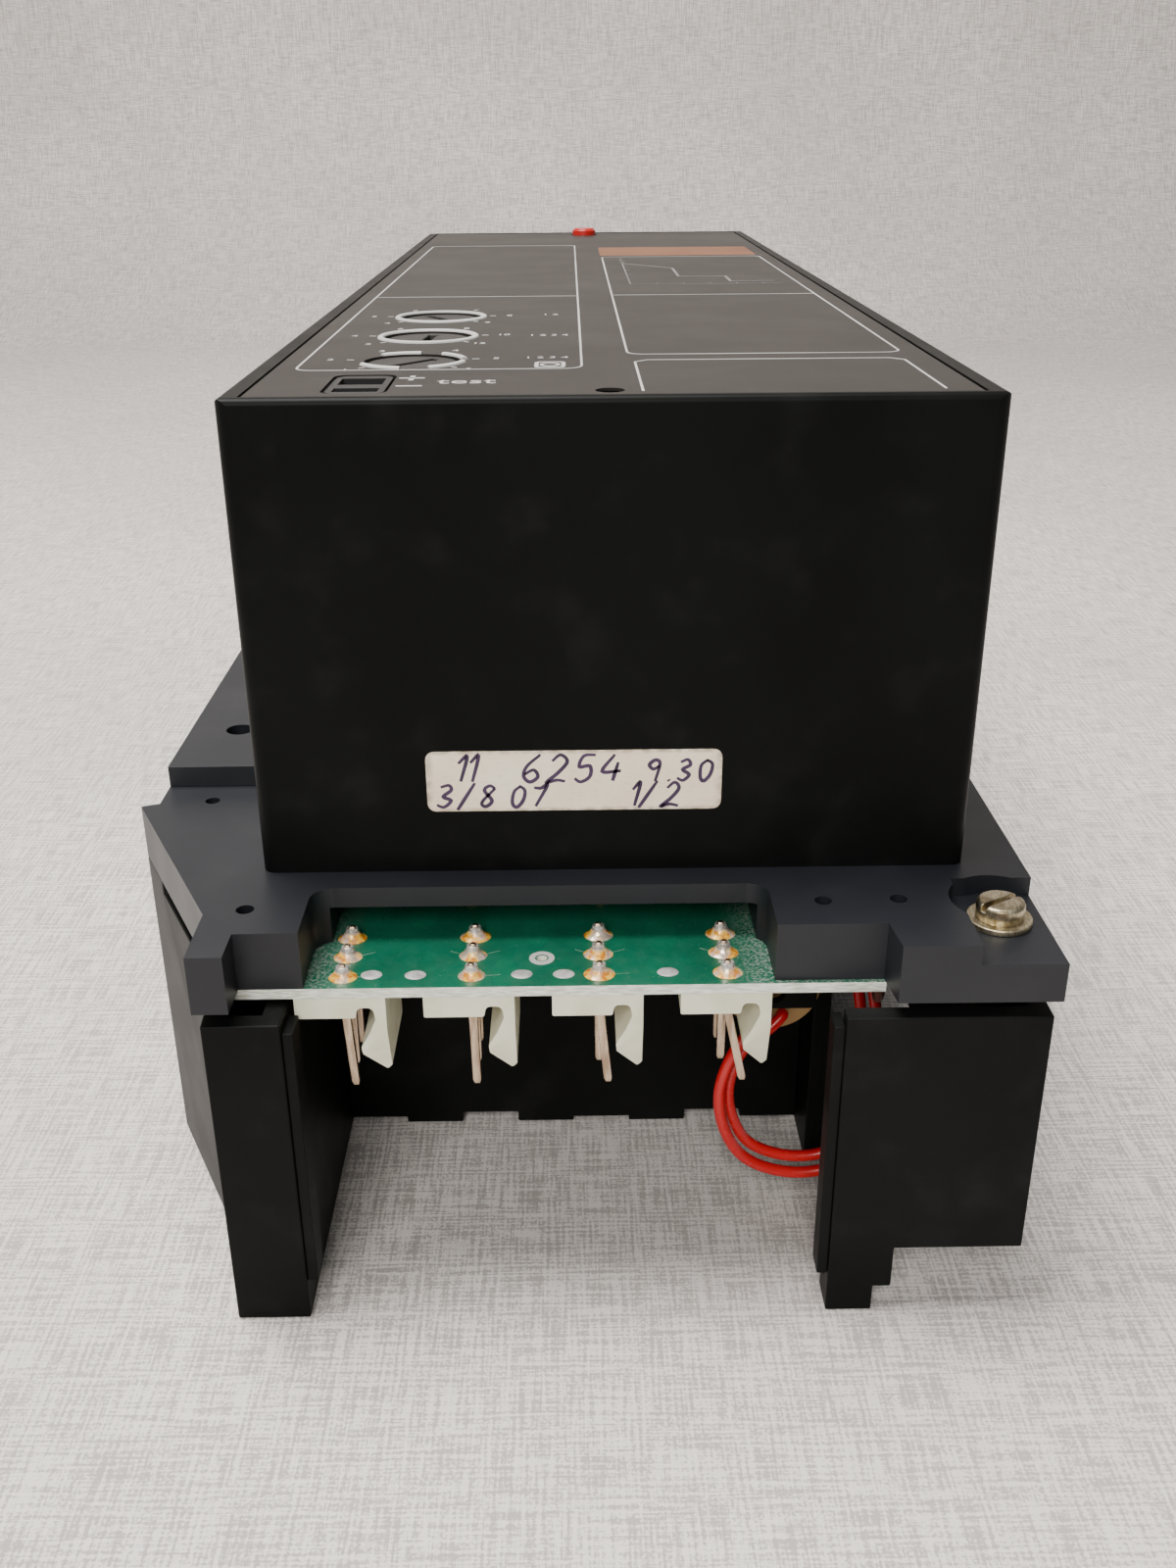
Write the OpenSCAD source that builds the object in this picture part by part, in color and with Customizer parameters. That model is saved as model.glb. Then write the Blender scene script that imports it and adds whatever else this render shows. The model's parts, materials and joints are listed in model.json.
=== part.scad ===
// Electronic trip unit of a moulded case circuit breaker: a tall cover over the electronics,
// a moulded front plate and deck, two side cheeks that stand on the floor, and a connector
// board with four friction-lock headers that hang into the open bay between the cheeks.
// Sub-parts are written in the cover's frame: X = 0 on the cover's centre line, Y = 0 on its
// front face, Z = 0 on top of the front plate. seat() moves them to the part's own frame.

/* [Cover] */
// Width of the cover
cover_w = 105; // [100:0.5:126]
// Length of the cover
cover_l = 328; // [273:1:394]
// Height of the cover above the front plate
cover_h = 69.4; // [58:0.2:84]
// Thickness of the cover's side walls
cover_wall = 2.5; // [1.5:0.1:3]
// Thickness of the cover's roof
roof_t = 3; // [2:0.1:4]
// Radius of the cover's upright corners
corner_r = 2; // [1:0.1:3]
// Radius of the edges round the roof
edge_r = 1; // [0.5:0.1:1.5]
// Depth of the recess that holds the face label
label_recess = 0.5; // [0.3:0.05:0.7]
// Width of the raised rims beside the face label
rim_w = 3; // [2:0.1:4]

/* [Controls] */
// Diameter of a selector dial
dial_d = 13.6; // [10:0.1:16.5]
// Depth of a dial's face below the label
dial_sink = 0.25; // [0.15:0.05:1]
// Diameter of a dial's shaft
dial_shaft_d = 4; // [3:0.1:5]
// Distance from the cover's centre line to the dials
dial_x = -29.6; // [-31:0.1:-26]
// Distance from the cover's front to the first dial
dial_y = 34; // [32:0.5:40]
// Distance between neighbouring dials
dial_pitch = 28; // [24:0.5:30]
// Diameter of the reset button
button_d = 7.5; // [6:0.1:9]
// Travel of the reset button
button_travel = 1.8; // [1:0.1:2]

/* [Base] */
// Height of the front plate's top above the floor
stand_h = 63.8; // [56:0.2:76]
// Thickness of the front plate and the deck
plate_t = 9; // [8:0.1:10]
// Thickness of their top skin
skin_t = 3.2; // [2.5:0.1:4]
// Reach of the base beyond the cover's left side
reach_left = 24.5; // [20:0.5:30]
// Reach of the base beyond the cover's right side
reach_right = 8.9; // [7.5:0.1:12]
// Reach of the front plate in front of the cover
reach_front = 24.5; // [23:0.5:27]
// Step up from the front plate to the wing beside the cover
wing_step = 3.6; // [2:0.1:5]
// Gap between the front plate and the tops of the legs
leg_gap = 2.3; // [1.8:0.1:2.6]
// Wall thickness of the cheeks
cheek_wall = 3; // [2.4:0.1:4]
// Diameter of the fixing hole through the wing
wing_hole_d = 4.8; // [4:0.1:6]

/* [Connector board] */
// Thickness of every circuit board
pcb_t = 1.6; // [1.2:0.1:1.7]
// Distance between neighbouring headers
header_pitch = 18.3; // [15:0.1:18.5]
// Distance between the pins of one header
pin_pitch = 5.5; // [5:0.1:5.6]
// Thickness of a header pin
pin_t = 1.2; // [1:0.05:1.4]
// Length of a header pin below the board
pin_drop = 16.6; // [14:0.1:18]

/* [Trip actuator] */
// Diameter of the taped coil
coil_d = 15; // [12:0.5:18]
// Diameter of the plunger
plunger_d = 4; // [3:0.1:5]
// Travel of the plunger
plunger_travel = 4; // [2:0.5:4.5]
// Diameter of the insulated wires
wire_d = 1.9; // [1.4:0.1:2.2]

/* [Hidden] */
$fn = 48;
slide_gap = 0.3;
run_gap = 0.06;
fit_gap = 0.05;
screw_gap = 0.15;
half_w = cover_w / 2;
base_left = -half_w - reach_left;
base_right = half_w + reach_right;
base_front = 0.5 - reach_front;
cover_x = (reach_left - reach_right) / 2;
cover_y = -(cover_l - reach_front) / 2;
under = -plate_t;
floor_z = -stand_h;
leg_top = under - leg_gap;
plate_back = 31.9;
deck_front = plate_back + 0.2;
deck_pockets = 6;
pocket_pitch = (cover_l - deck_front - 10) / deck_pockets;
pocket_xs = [[-41, -21], [-8, 12], [16, 29]];
wing_left = base_left + 2.8;
wing_right = -half_w - 6.5;
wing_hole = [wing_left + 8.8, 48.7];
step_hole = [wing_left + 8.5, 26.1, 2.4];
plate_holes = [[-52.9, -11.2, 2.6], [29.7, -10.6, 2.5], [40.6, -10.3, 2.5]];
label_top = cover_h - 0.15;
label_floor = cover_h - label_recess;
label_w = cover_w - 2 * rim_w;
label_front = 1.6;
label_gap = 0.3;
roof_in = cover_h - roof_t;
sticker = [43, 9.5, 0.12];
sticker_at = [-5.8, 14.6];
bay_left = 5.7 - half_w;
bay_right = half_w - 18.9;
bay_y = 23;
bay_wall_t = 3;
cheek_back = cover_l - 3;
step_z = floor_z + 11.8;
leg_left = -half_w - 5.3;
leg_right = bay_right - 2;
cheek_right = base_right - 1;
tooth_heights = [1.8, 0.6, 2.6, 0.6, 1.4, 0.5, 2.6, 1];
strip_low = floor_z + 6.8;
strip_high = leg_top - 1.7;
board_front = -18.2;
board_back = 21.8;
board_left = bay_left - 7.2;
board_right = bay_right + 4.4;
board_low = under - pcb_t;
ring_hole = [-10.8, -10.6, 1.6];
relay_joints = [[-22, 7], [-2, 7]];
header_x = [for (i = [0:3]) bay_left + 7.7 + i * header_pitch];
pin_y = [for (i = [0:2]) -15.1 + i * pin_pitch];
housing_end = 2.8;
pin_root = 3.8;
front_lean = [3, 1, 5.5, 12];
joint_d = 4;
joint_h = 1.7;
socket_at = [-34.8, 12.6];
socket_w = 8.4;
socket_l = 15.6;
slot_w = 6.2;
socket_slots = [[8, 3], [15.3, 5.4]];
switch_h = 5;
switch_w = 16;
dial_h = 3;
dial_top = label_top - dial_sink;
switch_top = dial_top - dial_h - slide_gap;
dial_board_z = switch_top - switch_h - pcb_t;
dial_board_top = dial_board_z + pcb_t;
dial_board_l = dial_y + 2 * dial_pitch + 20;
dial_board_x = half_w - 9;
dial_board_ys = [26, dial_board_l - 6];
dial_screw_l = roof_in - dial_board_z - 1.85;
main_z = 14;
main_top = main_z + pcb_t;
main_front = 9;
main_back = cover_l - 14;
main_half = half_w - 10.5;
button_x = -0.7;
button_y = cover_l - 10;
button_rise = 2;
button_flange_t = 2;
button_seat = roof_in - slide_gap;
stem_d = 3.2;
bracket_top = roof_in - 12.4;
bracket_t = 2;
seal_x = -0.4;
seal_y = 5.5;
seal_head_d = 3.2;
screw_x = half_w + 2.4;
screw_y = -11.9;
pocket_z = -3;
clamp_d = 4;
insert_d = 5.2;
washer_t = 0.9;
coil_x = bay_right - coil_d / 2 - 0.6;
coil_z = -24.5;
coil_front = 5.5;
coil_back = 20.3;
yoke_t = 1.6;
yoke_w = 7;
plunger_out = 34;
corner_boss = 7;
boss_x = half_w - 6.5;
boss_ys = [8, cover_l - 8];
boss_top = 24;
spacer_x = main_half - 6;
spacer_ys = [42, cover_l / 2, cover_l - 30];
cheek_screw_ys = [64, cover_l - 48];
left_screw_x = bay_left - cheek_wall - 3.5;
right_screw_x = bay_right + cheek_wall + 3.5;
lug_z = under - 20;
layout_l = 328;
ribbon_y = 104;
transformer_y = 218 * cover_l / layout_l;
capacitor_y = 268 * cover_l / layout_l;
film_y = 134 * cover_l / layout_l;
film_pitch = 13 * cover_l / layout_l;
chip_y = 141 * cover_l / layout_l;
processor_y = 163 * cover_l / layout_l;
resistor_y = 70 * cover_l / layout_l;
relay_y = 75 * cover_l / layout_l;
red_route_1 = [
    [24.6, 5.4, -29], [24.6, 4.2, -29], [22.6, 2, -29.6], [20, 0.6, -32], [18, 0, -36], [17, 0, -41],
    [17.6, 0, -46.5], [20, 0, -52], [24, 0, -55.4], [30, 0, -57], [36, 0, -56], [41, 0, -52],
    [43, 1, -44], [43, 4, -34], [42, 8, -24], [41, 11, -14], [40, 13, -4], [39, 15, 3], [38.4, 18, 7],
    [38, 21, 8], [38, 26, 8]];
red_route_2 = [
    [27.2, 5.4, -29.4], [27.2, 4.6, -29.4], [25, 3.6, -31.2], [21.6, 2.7, -33.4], [19.6, 2.2, -37],
    [18.7, 2, -41.4], [19.2, 2, -46], [21.3, 2, -51], [24.8, 2, -53.8], [30, 2, -55.2],
    [35.4, 2, -54.4], [39.6, 2, -50.6], [40.9, 3.6, -44], [40.9, 6.4, -34], [39.9, 10.4, -24],
    [39.4, 13.4, -14], [39, 14.6, -8], [38, 15.6, -2], [36.8, 16.6, 3], [36.2, 19, 7], [35.8, 22, 8],
    [35.8, 26, 8]];
wire_hole = [39, 14.4, 9];
brown_route = [
    [36, -13, -11.5], [37.6, -12.6, -12.4], [38.8, -11, -15], [39.4, -8, -18], [40.4, -3, -20.4],
    [42, 3, -20.8], [43.6, 9, -19.5], [43.4, 13, -16], [42, 16, -11], [41.4, 16.8, -3], [41, 17.4, 3],
    [40.6, 20, 7], [40.4, 23, 8], [40.4, 26, 8]];

// ---- helpers ----

// Moves a sub-part from the cover's frame to the part's own frame
module seat() {
    translate([cover_x, cover_y, stand_h]) children();
}

// Block between two opposite corners
module block(low, high) {
    translate(low) cube(high - low);
}

// Upright cylinder from one height to another
module post(x, y, low, high, d) {
    translate([x, y, low]) cylinder(d = d, h = high - low);
}

// Cylinder along Y from one place to another
module rod_y(x, z, front, back, d) {
    translate([x, front, z]) rotate([-90, 0, 0]) cylinder(d = d, h = back - front);
}

// Flat rectangle with round corners, centred
module round_rect(w, l, r) {
    square([w - 2 * r, l], center = true);
    square([w, l - 2 * r], center = true);
    for (sx = [-1, 1])
        for (sy = [-1, 1])
            translate([sx * (w / 2 - r), sy * (l / 2 - r)]) circle(r = r);
}

// Upright outline with only its two top corners round, from z = 0 to h
module arch(w, h, r) {
    translate([-w / 2, 0]) square([w, h - r]);
    translate([r - w / 2, 0]) square([w - 2 * r, h]);
    for (sx = [-1, 1]) translate([sx * (w / 2 - r), h - r]) circle(r = r);
}

// Points of a circle round p, square to the direction u
function ring_points(p, u, d, sides) =
    let (a = cross(u, abs(u[2]) > 0.9 ? [1, 0, 0] : [0, 0, 1]))
    let (b = a / norm(a))
    let (c = cross(u, b))
    [for (i = [0:sides - 1]) p + d / 2 * (cos(360 * i / sides) * b + sin(360 * i / sides) * c)];

// Direction of a route at one of its points
function heading(route, i) =
    let (d = route[min(i + 1, len(route) - 1)] - route[max(i - 1, 0)])
    d / norm(d);

// Round tube along a route
module tube(route, d, sides) {
    last = len(route) - 1;
    rings = [for (i = [0:last]) each ring_points(route[i], heading(route, i), d, sides)];
    caps = [[for (i = [0:sides - 1]) i], [for (i = [sides - 1:-1:0]) last * sides + i]];
    walls = [for (k = [0:last - 1]) for (i = [0:sides - 1])
        let (a = k * sides + i)
        let (b = k * sides + (i + 1) % sides)
        each [[a, a + sides, b + sides], [a, b + sides, b]]];
    polyhedron(points = rings, faces = concat(caps, walls), convexity = 6);
}

// Coil spring that stands along Z
module coil_spring(d, wire, low, high, turns) {
    steps = 10 * turns;
    route = [for (i = [0:steps]) [d / 2 * cos(36 * i), d / 2 * sin(36 * i), low + (high - low) * i / steps]];
    tube(route, wire, 6);
}

// Pan head screw that points down, its head's underside at z
module pan_screw(x, y, z, head_d, head_h, shank_d, shank_l) {
    difference() {
        post(x, y, z, z + head_h, head_d);
        block([x - head_d / 2, y - 0.4, z + head_h - 0.7], [x + head_d / 2, y + 0.4, z + head_h + 1]);
    }
    post(x, y, z - shank_l, z, shank_d);
}

// The same screw pointing up, its head's underside at z
module pan_screw_up(x, y, z, head_d, head_h, shank_d, shank_l) {
    translate([x, y, z]) rotate([180, 0, 0]) pan_screw(0, 0, 0, head_d, head_h, shank_d, shank_l);
}

// ---- cover and what it carries ----

// Outer form of the cover, with its edges round
module cover_form() {
    intersection() {
        translate([0, cover_l / 2, 0]) linear_extrude(cover_h) round_rect(cover_w, cover_l, corner_r);
        translate([0, cover_l, 0]) rotate([90, 0, 0]) linear_extrude(cover_l) arch(cover_w, cover_h, edge_r);
        translate([-half_w, cover_l / 2, 0]) rotate([90, 0, 90]) linear_extrude(cover_w)
            arch(cover_l, cover_h, edge_r);
    }
}

// Openings that go through both the roof and the label
module roof_cuts(grow) {
    for (i = [0:2])
        post(dial_x, dial_y + i * dial_pitch, roof_in - 1, cover_h + 1, dial_d + 2 * slide_gap + grow);
    post(button_x, button_y, roof_in - 1, cover_h + 1, button_d + 2 * slide_gap + grow);
    post(seal_x, seal_y, roof_in - 1, cover_h + 1, seal_head_d + 0.2 + grow);
    translate([socket_at[0], socket_at[1], roof_in - 1]) linear_extrude(roof_t + 2)
        round_rect(socket_w + grow, socket_l + grow, 2);
}

// Post at each screw place of the dial board
module dial_board_posts(low, high, d) {
    for (sx = [-1, 1])
        for (y = dial_board_ys) post(sx * dial_board_x, y, low, high, d);
}

// Post at each screw place in the cover's lower corners
module corner_posts(ys, low, high, d) {
    for (sx = [-1, 1])
        for (y = ys) post(sx * boss_x, y, low, high, d);
}

module cover_shell() {
    color("#141615") difference() {
        union() {
            difference() {
                cover_form();
                block([cover_wall - half_w, cover_wall, -1],
                    [half_w - cover_wall, cover_l - cover_wall, roof_in]);
            }
            corner_posts(boss_ys, 0, boss_top, corner_boss);
            for (y = boss_ys) {
                block([1 - half_w, y - 1, 0], [-boss_x, y + 1, boss_top]);
                block([boss_x, y - 1, 0], [half_w - 1, y + 1, boss_top]);
            }
            dial_board_posts(dial_board_top, roof_in + 0.5, 6);
            post(seal_x, seal_y, dial_board_top, roof_in + 0.5, corner_boss);
        }
        block([-label_w / 2, label_front, label_floor], [label_w / 2, cover_l - label_front, cover_h + 1]);
        roof_cuts(0);
        post(seal_x, seal_y, dial_board_top + 3, roof_in, seal_head_d + 0.2);
        post(seal_x, seal_y, dial_board_z, roof_in, 2.2);
        corner_posts(boss_ys, -1, 18, 2.8);
        dial_board_posts(dial_board_z - 1, roof_in - 1, 2.3);
    }
}

module face_label() {
    color("#6b645f") difference() {
        block([label_gap - label_w / 2, label_front + label_gap, label_floor],
            [label_w / 2 - label_gap, cover_l - label_front - label_gap, label_top]);
        roof_cuts(2 * label_gap);
    }
}

module id_sticker() {
    color("#e6d9c6") translate([sticker_at[0], 0, sticker_at[1]]) rotate([90, 0, 0])
        linear_extrude(sticker[2]) round_rect(sticker[0], sticker[1], 1.5);
}

module test_socket() {
    x = socket_at[0];
    y = socket_at[1];
    low = dial_board_top + fit_gap;
    color("#0d0d0d") difference() {
        union() {
            translate([x, y, low]) linear_extrude(label_top - 0.1 - low)
                round_rect(socket_w - 0.4, socket_l - 0.4, 1.8);
            block([x - 5, y - 8.5, low], [x + 5, y + 8.5, roof_in - 0.1]);
        }
        for (slot = socket_slots)
            translate([x - slot_w / 2, slot[0] - slot[1] / 2, low + 2]) cube([slot_w, slot[1], cover_h]);
    }
}

module test_contacts() {
    x = socket_at[0];
    low = dial_board_top + fit_gap + 2;
    color("#c9b27a") for (slot = socket_slots) difference() {
        block([x - 2.4, slot[0] - 1.1, low], [x + 2.4, slot[0] + 1.1, roof_in]);
        block([x - 3, slot[0] - 0.5, low + 0.6], [x + 3, slot[0] + 0.5, roof_in + 1]);
    }
}

module seal_screw() {
    color("#8f8f88") pan_screw(seal_x, seal_y, dial_board_top + 3, seal_head_d, 1.8, 2.1, 6);
}

// Rotor with a pointer slot, its shaft below
module dial(i) {
    y = dial_y + i * dial_pitch;
    slot_l = dial_d / 2 - 1.5;
    color("#2a2a2b") difference() {
        union() {
            post(dial_x, y, dial_top - dial_h, dial_top, dial_d);
            post(dial_x, y, switch_top - switch_h + 1, dial_top - dial_h, dial_shaft_d);
        }
        translate([dial_x, y, dial_top - 1.2]) rotate([0, 0, 35 * i - 40]) {
            block([-0.75, -slot_l, 0], [0.75, slot_l, 2]);
            translate([0, slot_l - 1.5, 0]) cylinder(d = 3, h = 2, $fn = 3);
        }
    }
}

module rotary_switch(i) {
    y = dial_y + i * dial_pitch;
    r = switch_w / 2;
    low = switch_top - switch_h;
    color("#23324a") difference() {
        block([dial_x - r, y - r, low], [dial_x + r, y + r, switch_top]);
        post(dial_x, y, low + 0.7, switch_top + 1, dial_shaft_d + 2 * run_gap);
    }
}

module dial_board() {
    color("#1f7a52") difference() {
        block([4.5 - half_w, 3.2, dial_board_z], [half_w - 4.5, dial_board_l, dial_board_top]);
        post(seal_x, seal_y, 0, cover_h, 2.5);
        dial_board_posts(0, cover_h, 2.6);
    }
}

module dial_board_screws() {
    color("#a9a9a2") for (sx = [-1, 1])
        for (y = dial_board_ys) pan_screw_up(sx * dial_board_x, y, dial_board_z, 4.6, 1.8, 2.2, dial_screw_l);
}

module reset_button() {
    top = label_top + button_rise;
    flange_low = button_seat - button_flange_t;
    color("#c8201c") {
        post(button_x, button_y, button_seat, top - 0.5, button_d);
        post(button_x, button_y, top - 0.5, top, button_d - 1);
        post(button_x, button_y, flange_low, button_seat, button_d + 3);
        post(button_x, button_y, bracket_top - bracket_t - 1, flange_low, stem_d);
    }
}

module button_spring() {
    color("#b8b8b0") translate([button_x, button_y, 0])
        coil_spring(stem_d + 2.2, 0.6, bracket_top + 0.35, button_seat - button_flange_t - 0.35, 5);
}

module button_bracket() {
    y0 = button_y - 5;
    y1 = button_y + 5;
    color("#b5b7b3") difference() {
        union() {
            block([button_x - 11, y0, bracket_top - bracket_t], [button_x + 11, y1, bracket_top]);
            for (x = [button_x - 10, button_x + 10]) block([x - 1, y0, bracket_top], [x + 1, y1, roof_in]);
        }
        post(button_x, button_y, bracket_top - 5, bracket_top + 5, stem_d + 2 * run_gap);
    }
}

module reset_switch() {
    y0 = button_y - 3;
    y1 = button_y + 3;
    top = bracket_top - bracket_t;
    color("#1b1b1d") {
        block([button_x - 10, y0, top - 11], [button_x + 10, y1, top - 4]);
        for (x = [button_x - 8, button_x + 8]) block([x - 1, y0, top - 4], [x + 1, y1, top]);
    }
}

// ---- electronics under the cover ----

module main_board() {
    color("#1f7a52") difference() {
        block([-main_half, main_front, main_z], [main_half, main_back, main_top]);
        for (sx = [-1, 1])
            for (y = spacer_ys) post(sx * spacer_x, y, 0, 30, 3.4);
    }
}

module board_spacers() {
    color("#c8a85a") for (sx = [-1, 1])
        for (y = spacer_ys) difference() {
            translate([sx * spacer_x, y, 0]) cylinder(d = 7, h = main_z, $fn = 6);
            post(sx * spacer_x, y, 3, main_z + 1, 3);
        }
}

module main_board_screws() {
    color("#a9a9a2") for (sx = [-1, 1])
        for (y = spacer_ys) pan_screw(sx * spacer_x, y, main_top, 5.6, 2.2, 2.9, 8);
}

module transformer_core() {
    y = transformer_y;
    color("#4a4d50") difference() {
        block([-24, y - 20, main_top], [24, y + 20, main_top + 34]);
        for (x = [-12, 12]) block([x - 4.2, y - 21, main_top + 8], [x + 4.2, y + 21, main_top + 26]);
    }
}

module transformer_winding() {
    low = main_top + 8.4;
    high = main_top + 25.6;
    color("#b9823f") {
        for (y = [transformer_y - 24, transformer_y + 24])
            block([-15.8, y - 3.9, low], [15.8, y + 3.9, high]);
        for (x = [-12, 12])
            block([x - 3.9, transformer_y - 24, low], [x + 3.9, transformer_y + 24, high]);
    }
}

module capacitors() {
    color("#27357a") for (x = [-30, -10, 10, 30]) post(x, capacitor_y, main_top, main_top + 26, 16);
}

module film_capacitors() {
    color("#c9a227") for (i = [0:3]) {
        y = film_y + i * film_pitch;
        block([-32, y - 4, main_top], [-14, y + 4, main_top + 12]);
    }
}

module logic_chips() {
    color("#17181a") {
        for (x = [4:10:34]) block([x - 3.2, chip_y - 9, main_top], [x + 3.2, chip_y + 9, main_top + 4]);
        block([-8, processor_y - 7, main_top], [30, processor_y + 7, main_top + 5]);
    }
}

module power_resistors() {
    color("#9fb6a0") for (i = [0:3])
        translate([-10, resistor_y + 9 * i, main_top + 3]) rotate([0, 90, 0]) cylinder(d = 6, h = 22);
}

module trip_relay() {
    color("#d9d6cc") block([-38, relay_y - 15, main_top], [-19, relay_y + 15, main_top + 16]);
}

module wire_terminal() {
    color("#2d6b3a") difference() {
        block([32, 23, main_z - 10], [42, 34, main_z]);
        block([34.4, 22, main_z - 8], [41.6, 31, main_z - 4]);
    }
}

module ribbon_sockets() {
    color("#2b2b2e") {
        block([-13, ribbon_y - 4, main_top], [13, ribbon_y + 4, main_top + 9]);
        block([-13, ribbon_y - 4, dial_board_z - 9], [13, ribbon_y + 4, dial_board_z]);
    }
}

// Flat cable that bows out between its two sockets
module ribbon_cable() {
    low = main_top + 9;
    rise = dial_board_z - 9 - low;
    bow = [for (i = [0:16]) [6 * sin(180 * i / 16), low + rise * i / 16]];
    back = [for (i = [16:-1:0]) bow[i] + [0.9, 0]];
    color("#8b8f92") translate([-12, ribbon_y - 0.45, 0]) rotate([90, 0, 90]) linear_extrude(24)
        polygon(concat(bow, back));
}

module stacking_connector() {
    color("#1b1b1d") {
        block([-26, 11.6, under], [2, 18.4, 2]);
        block([-26, 11.6, 7], [2, 18.4, main_z]);
    }
}

module stacking_pins() {
    color("#d8c07a") for (i = [0:9])
        for (y = [13.6, 16.4]) block([-23.9 + 2.54 * i, y - 0.32, 2], [-23.26 + 2.54 * i, y + 0.32, 7]);
}

// ---- base ----

// Outline of the front plate, with the window for the connector board
module plate_outline() {
    f = -reach_front;
    x0 = header_x[0];
    x1 = header_x[3];
    difference() {
        polygon([[-half_w - 6, f], [board_left + 0.6, f], [board_left + 0.6, board_front],
            [x1 + 6.2, board_front + 0.8], [board_right - 0.2, board_front + 0.8],
            [board_right + 0.5, f + 0.7], [base_right, f + 0.6], [base_right, plate_back],
            [wing_left, plate_back], [wing_left, 25.2], [base_left, 24.1], [-half_w - 6.1, -12.6]]);
        translate([x0 - 5.2, -30]) square([x1 - x0 + 11.7, 21.7]);
        translate([x0 - 2, -30]) square([x1 - x0 + 5.3, 24.9]);
        translate([x0 - 2, -8.3]) circle(r = 3.2);
        translate([x1 + 3.3, -8.3]) circle(r = 3.2);
    }
}

module front_plate() {
    color("#16181b") difference() {
        translate([0, 0, under]) linear_extrude(plate_t) plate_outline();
        block([header_x[0] - 2.9, -8, under - 1], [header_x[3] + 5.2, 20, -skin_t]);
        block([screw_x - 5.5, -reach_front - 1, pocket_z], [base_right + 1, -4.3, 1]);
        post(screw_x, screw_y + 1.5, pocket_z, 1, 14);
        post(screw_x, screw_y, under - 1, 0, clamp_d + 0.4);
        block([-26.4, 11.2, under], [2.4, 18.8, 1]);
        post(wire_hole[0], wire_hole[1], under - 1, 1, wire_hole[2]);
        for (p = plate_holes) post(p[0], p[1], under - 1, 1, p[2]);
        post(step_hole[0], step_hole[1], under + 3, 1, step_hole[2]);
        corner_posts([boss_ys[0]], under - 1, 1, 3.2);
        corner_posts([boss_ys[0]], under - 1, under + 3, 6);
    }
}

module base_deck() {
    color("#131517") difference() {
        union() {
            block([wing_left, deck_front, under], [base_right - 0.1, cover_l, 0]);
            block([wing_left, deck_front, -1], [wing_right, cover_l, wing_step]);
        }
        for (i = [0:deck_pockets - 1])
            for (x = pocket_xs)
                block([x[0], deck_front + 8 + i * pocket_pitch, under - 1],
                    [x[1], deck_front + 4 + (i + 1) * pocket_pitch, -skin_t]);
        post(wing_hole[0], wing_hole[1], under - 1, wing_step + 1, wing_hole_d);
        corner_posts([boss_ys[1]], under - 1, 1, 3.2);
        corner_posts([boss_ys[1]], under - 1, under + 3, 6);
        for (x = [left_screw_x, right_screw_x])
            for (y = cheek_screw_ys) {
                post(x, y, under - 1, 1, 3.4);
                post(x, y, -3, 5, 6.4);
            }
    }
}

module cover_screws() {
    color("#a9a9a2") for (sx = [-1, 1])
        for (y = boss_ys) pan_screw_up(sx * boss_x, y, under + 3, 5.6, 2.4, 2.7, 22);
}

// Outline of the left cheek's outer side
module left_outline() {
    polygon([[leg_left, base_front], [bay_left, base_front], [bay_left, cheek_back], [base_left, cheek_back],
        [base_left, 24], [-half_w - 6, -12.5]]);
}

// Inside of the left cheek, open at the bottom
module left_pocket() {
    w = cheek_wall;
    difference() {
        polygon([[leg_left + w, base_front + w], [bay_left - w, base_front + w],
            [bay_left - w, cheek_back - w], [base_left + w, cheek_back - w], [base_left + w, 24.7],
            [-half_w - 6 + w, -11.8]]);
        for (y = cheek_screw_ys) {
            translate([left_screw_x, y]) circle(d = 8);
            translate([left_screw_x, y - 4]) square([6, 8]);
        }
    }
}

module left_cheek() {
    color("#121414") difference() {
        translate([0, 0, floor_z]) linear_extrude(under - floor_z) left_outline();
        translate([0, 0, floor_z - 1]) linear_extrude(stand_h) left_pocket();
        block([base_left - 13, -40, leg_top], [bay_left + 1, 15, 0]);
        block([bay_left - 1, 15, leg_top], [bay_left + 1, bay_y + 6, 0]);
        block([board_left - 0.6, 14, leg_top], [bay_left + 1, board_back + 0.6, 0]);
        for (y = cheek_screw_ys) post(left_screw_x, y, under - 14, 0, 2.8);
    }
}

// Front of the right cheek, with its stepped lower edge
module right_leg_face() {
    polygon([[leg_right, floor_z], [leg_right + 7, floor_z], [leg_right + 7, floor_z + 4.5],
        [leg_right + 9.7, floor_z + 4.5], [leg_right + 9.7, step_z], [cheek_right, step_z],
        [cheek_right, leg_top], [leg_right, leg_top]]);
}

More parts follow.
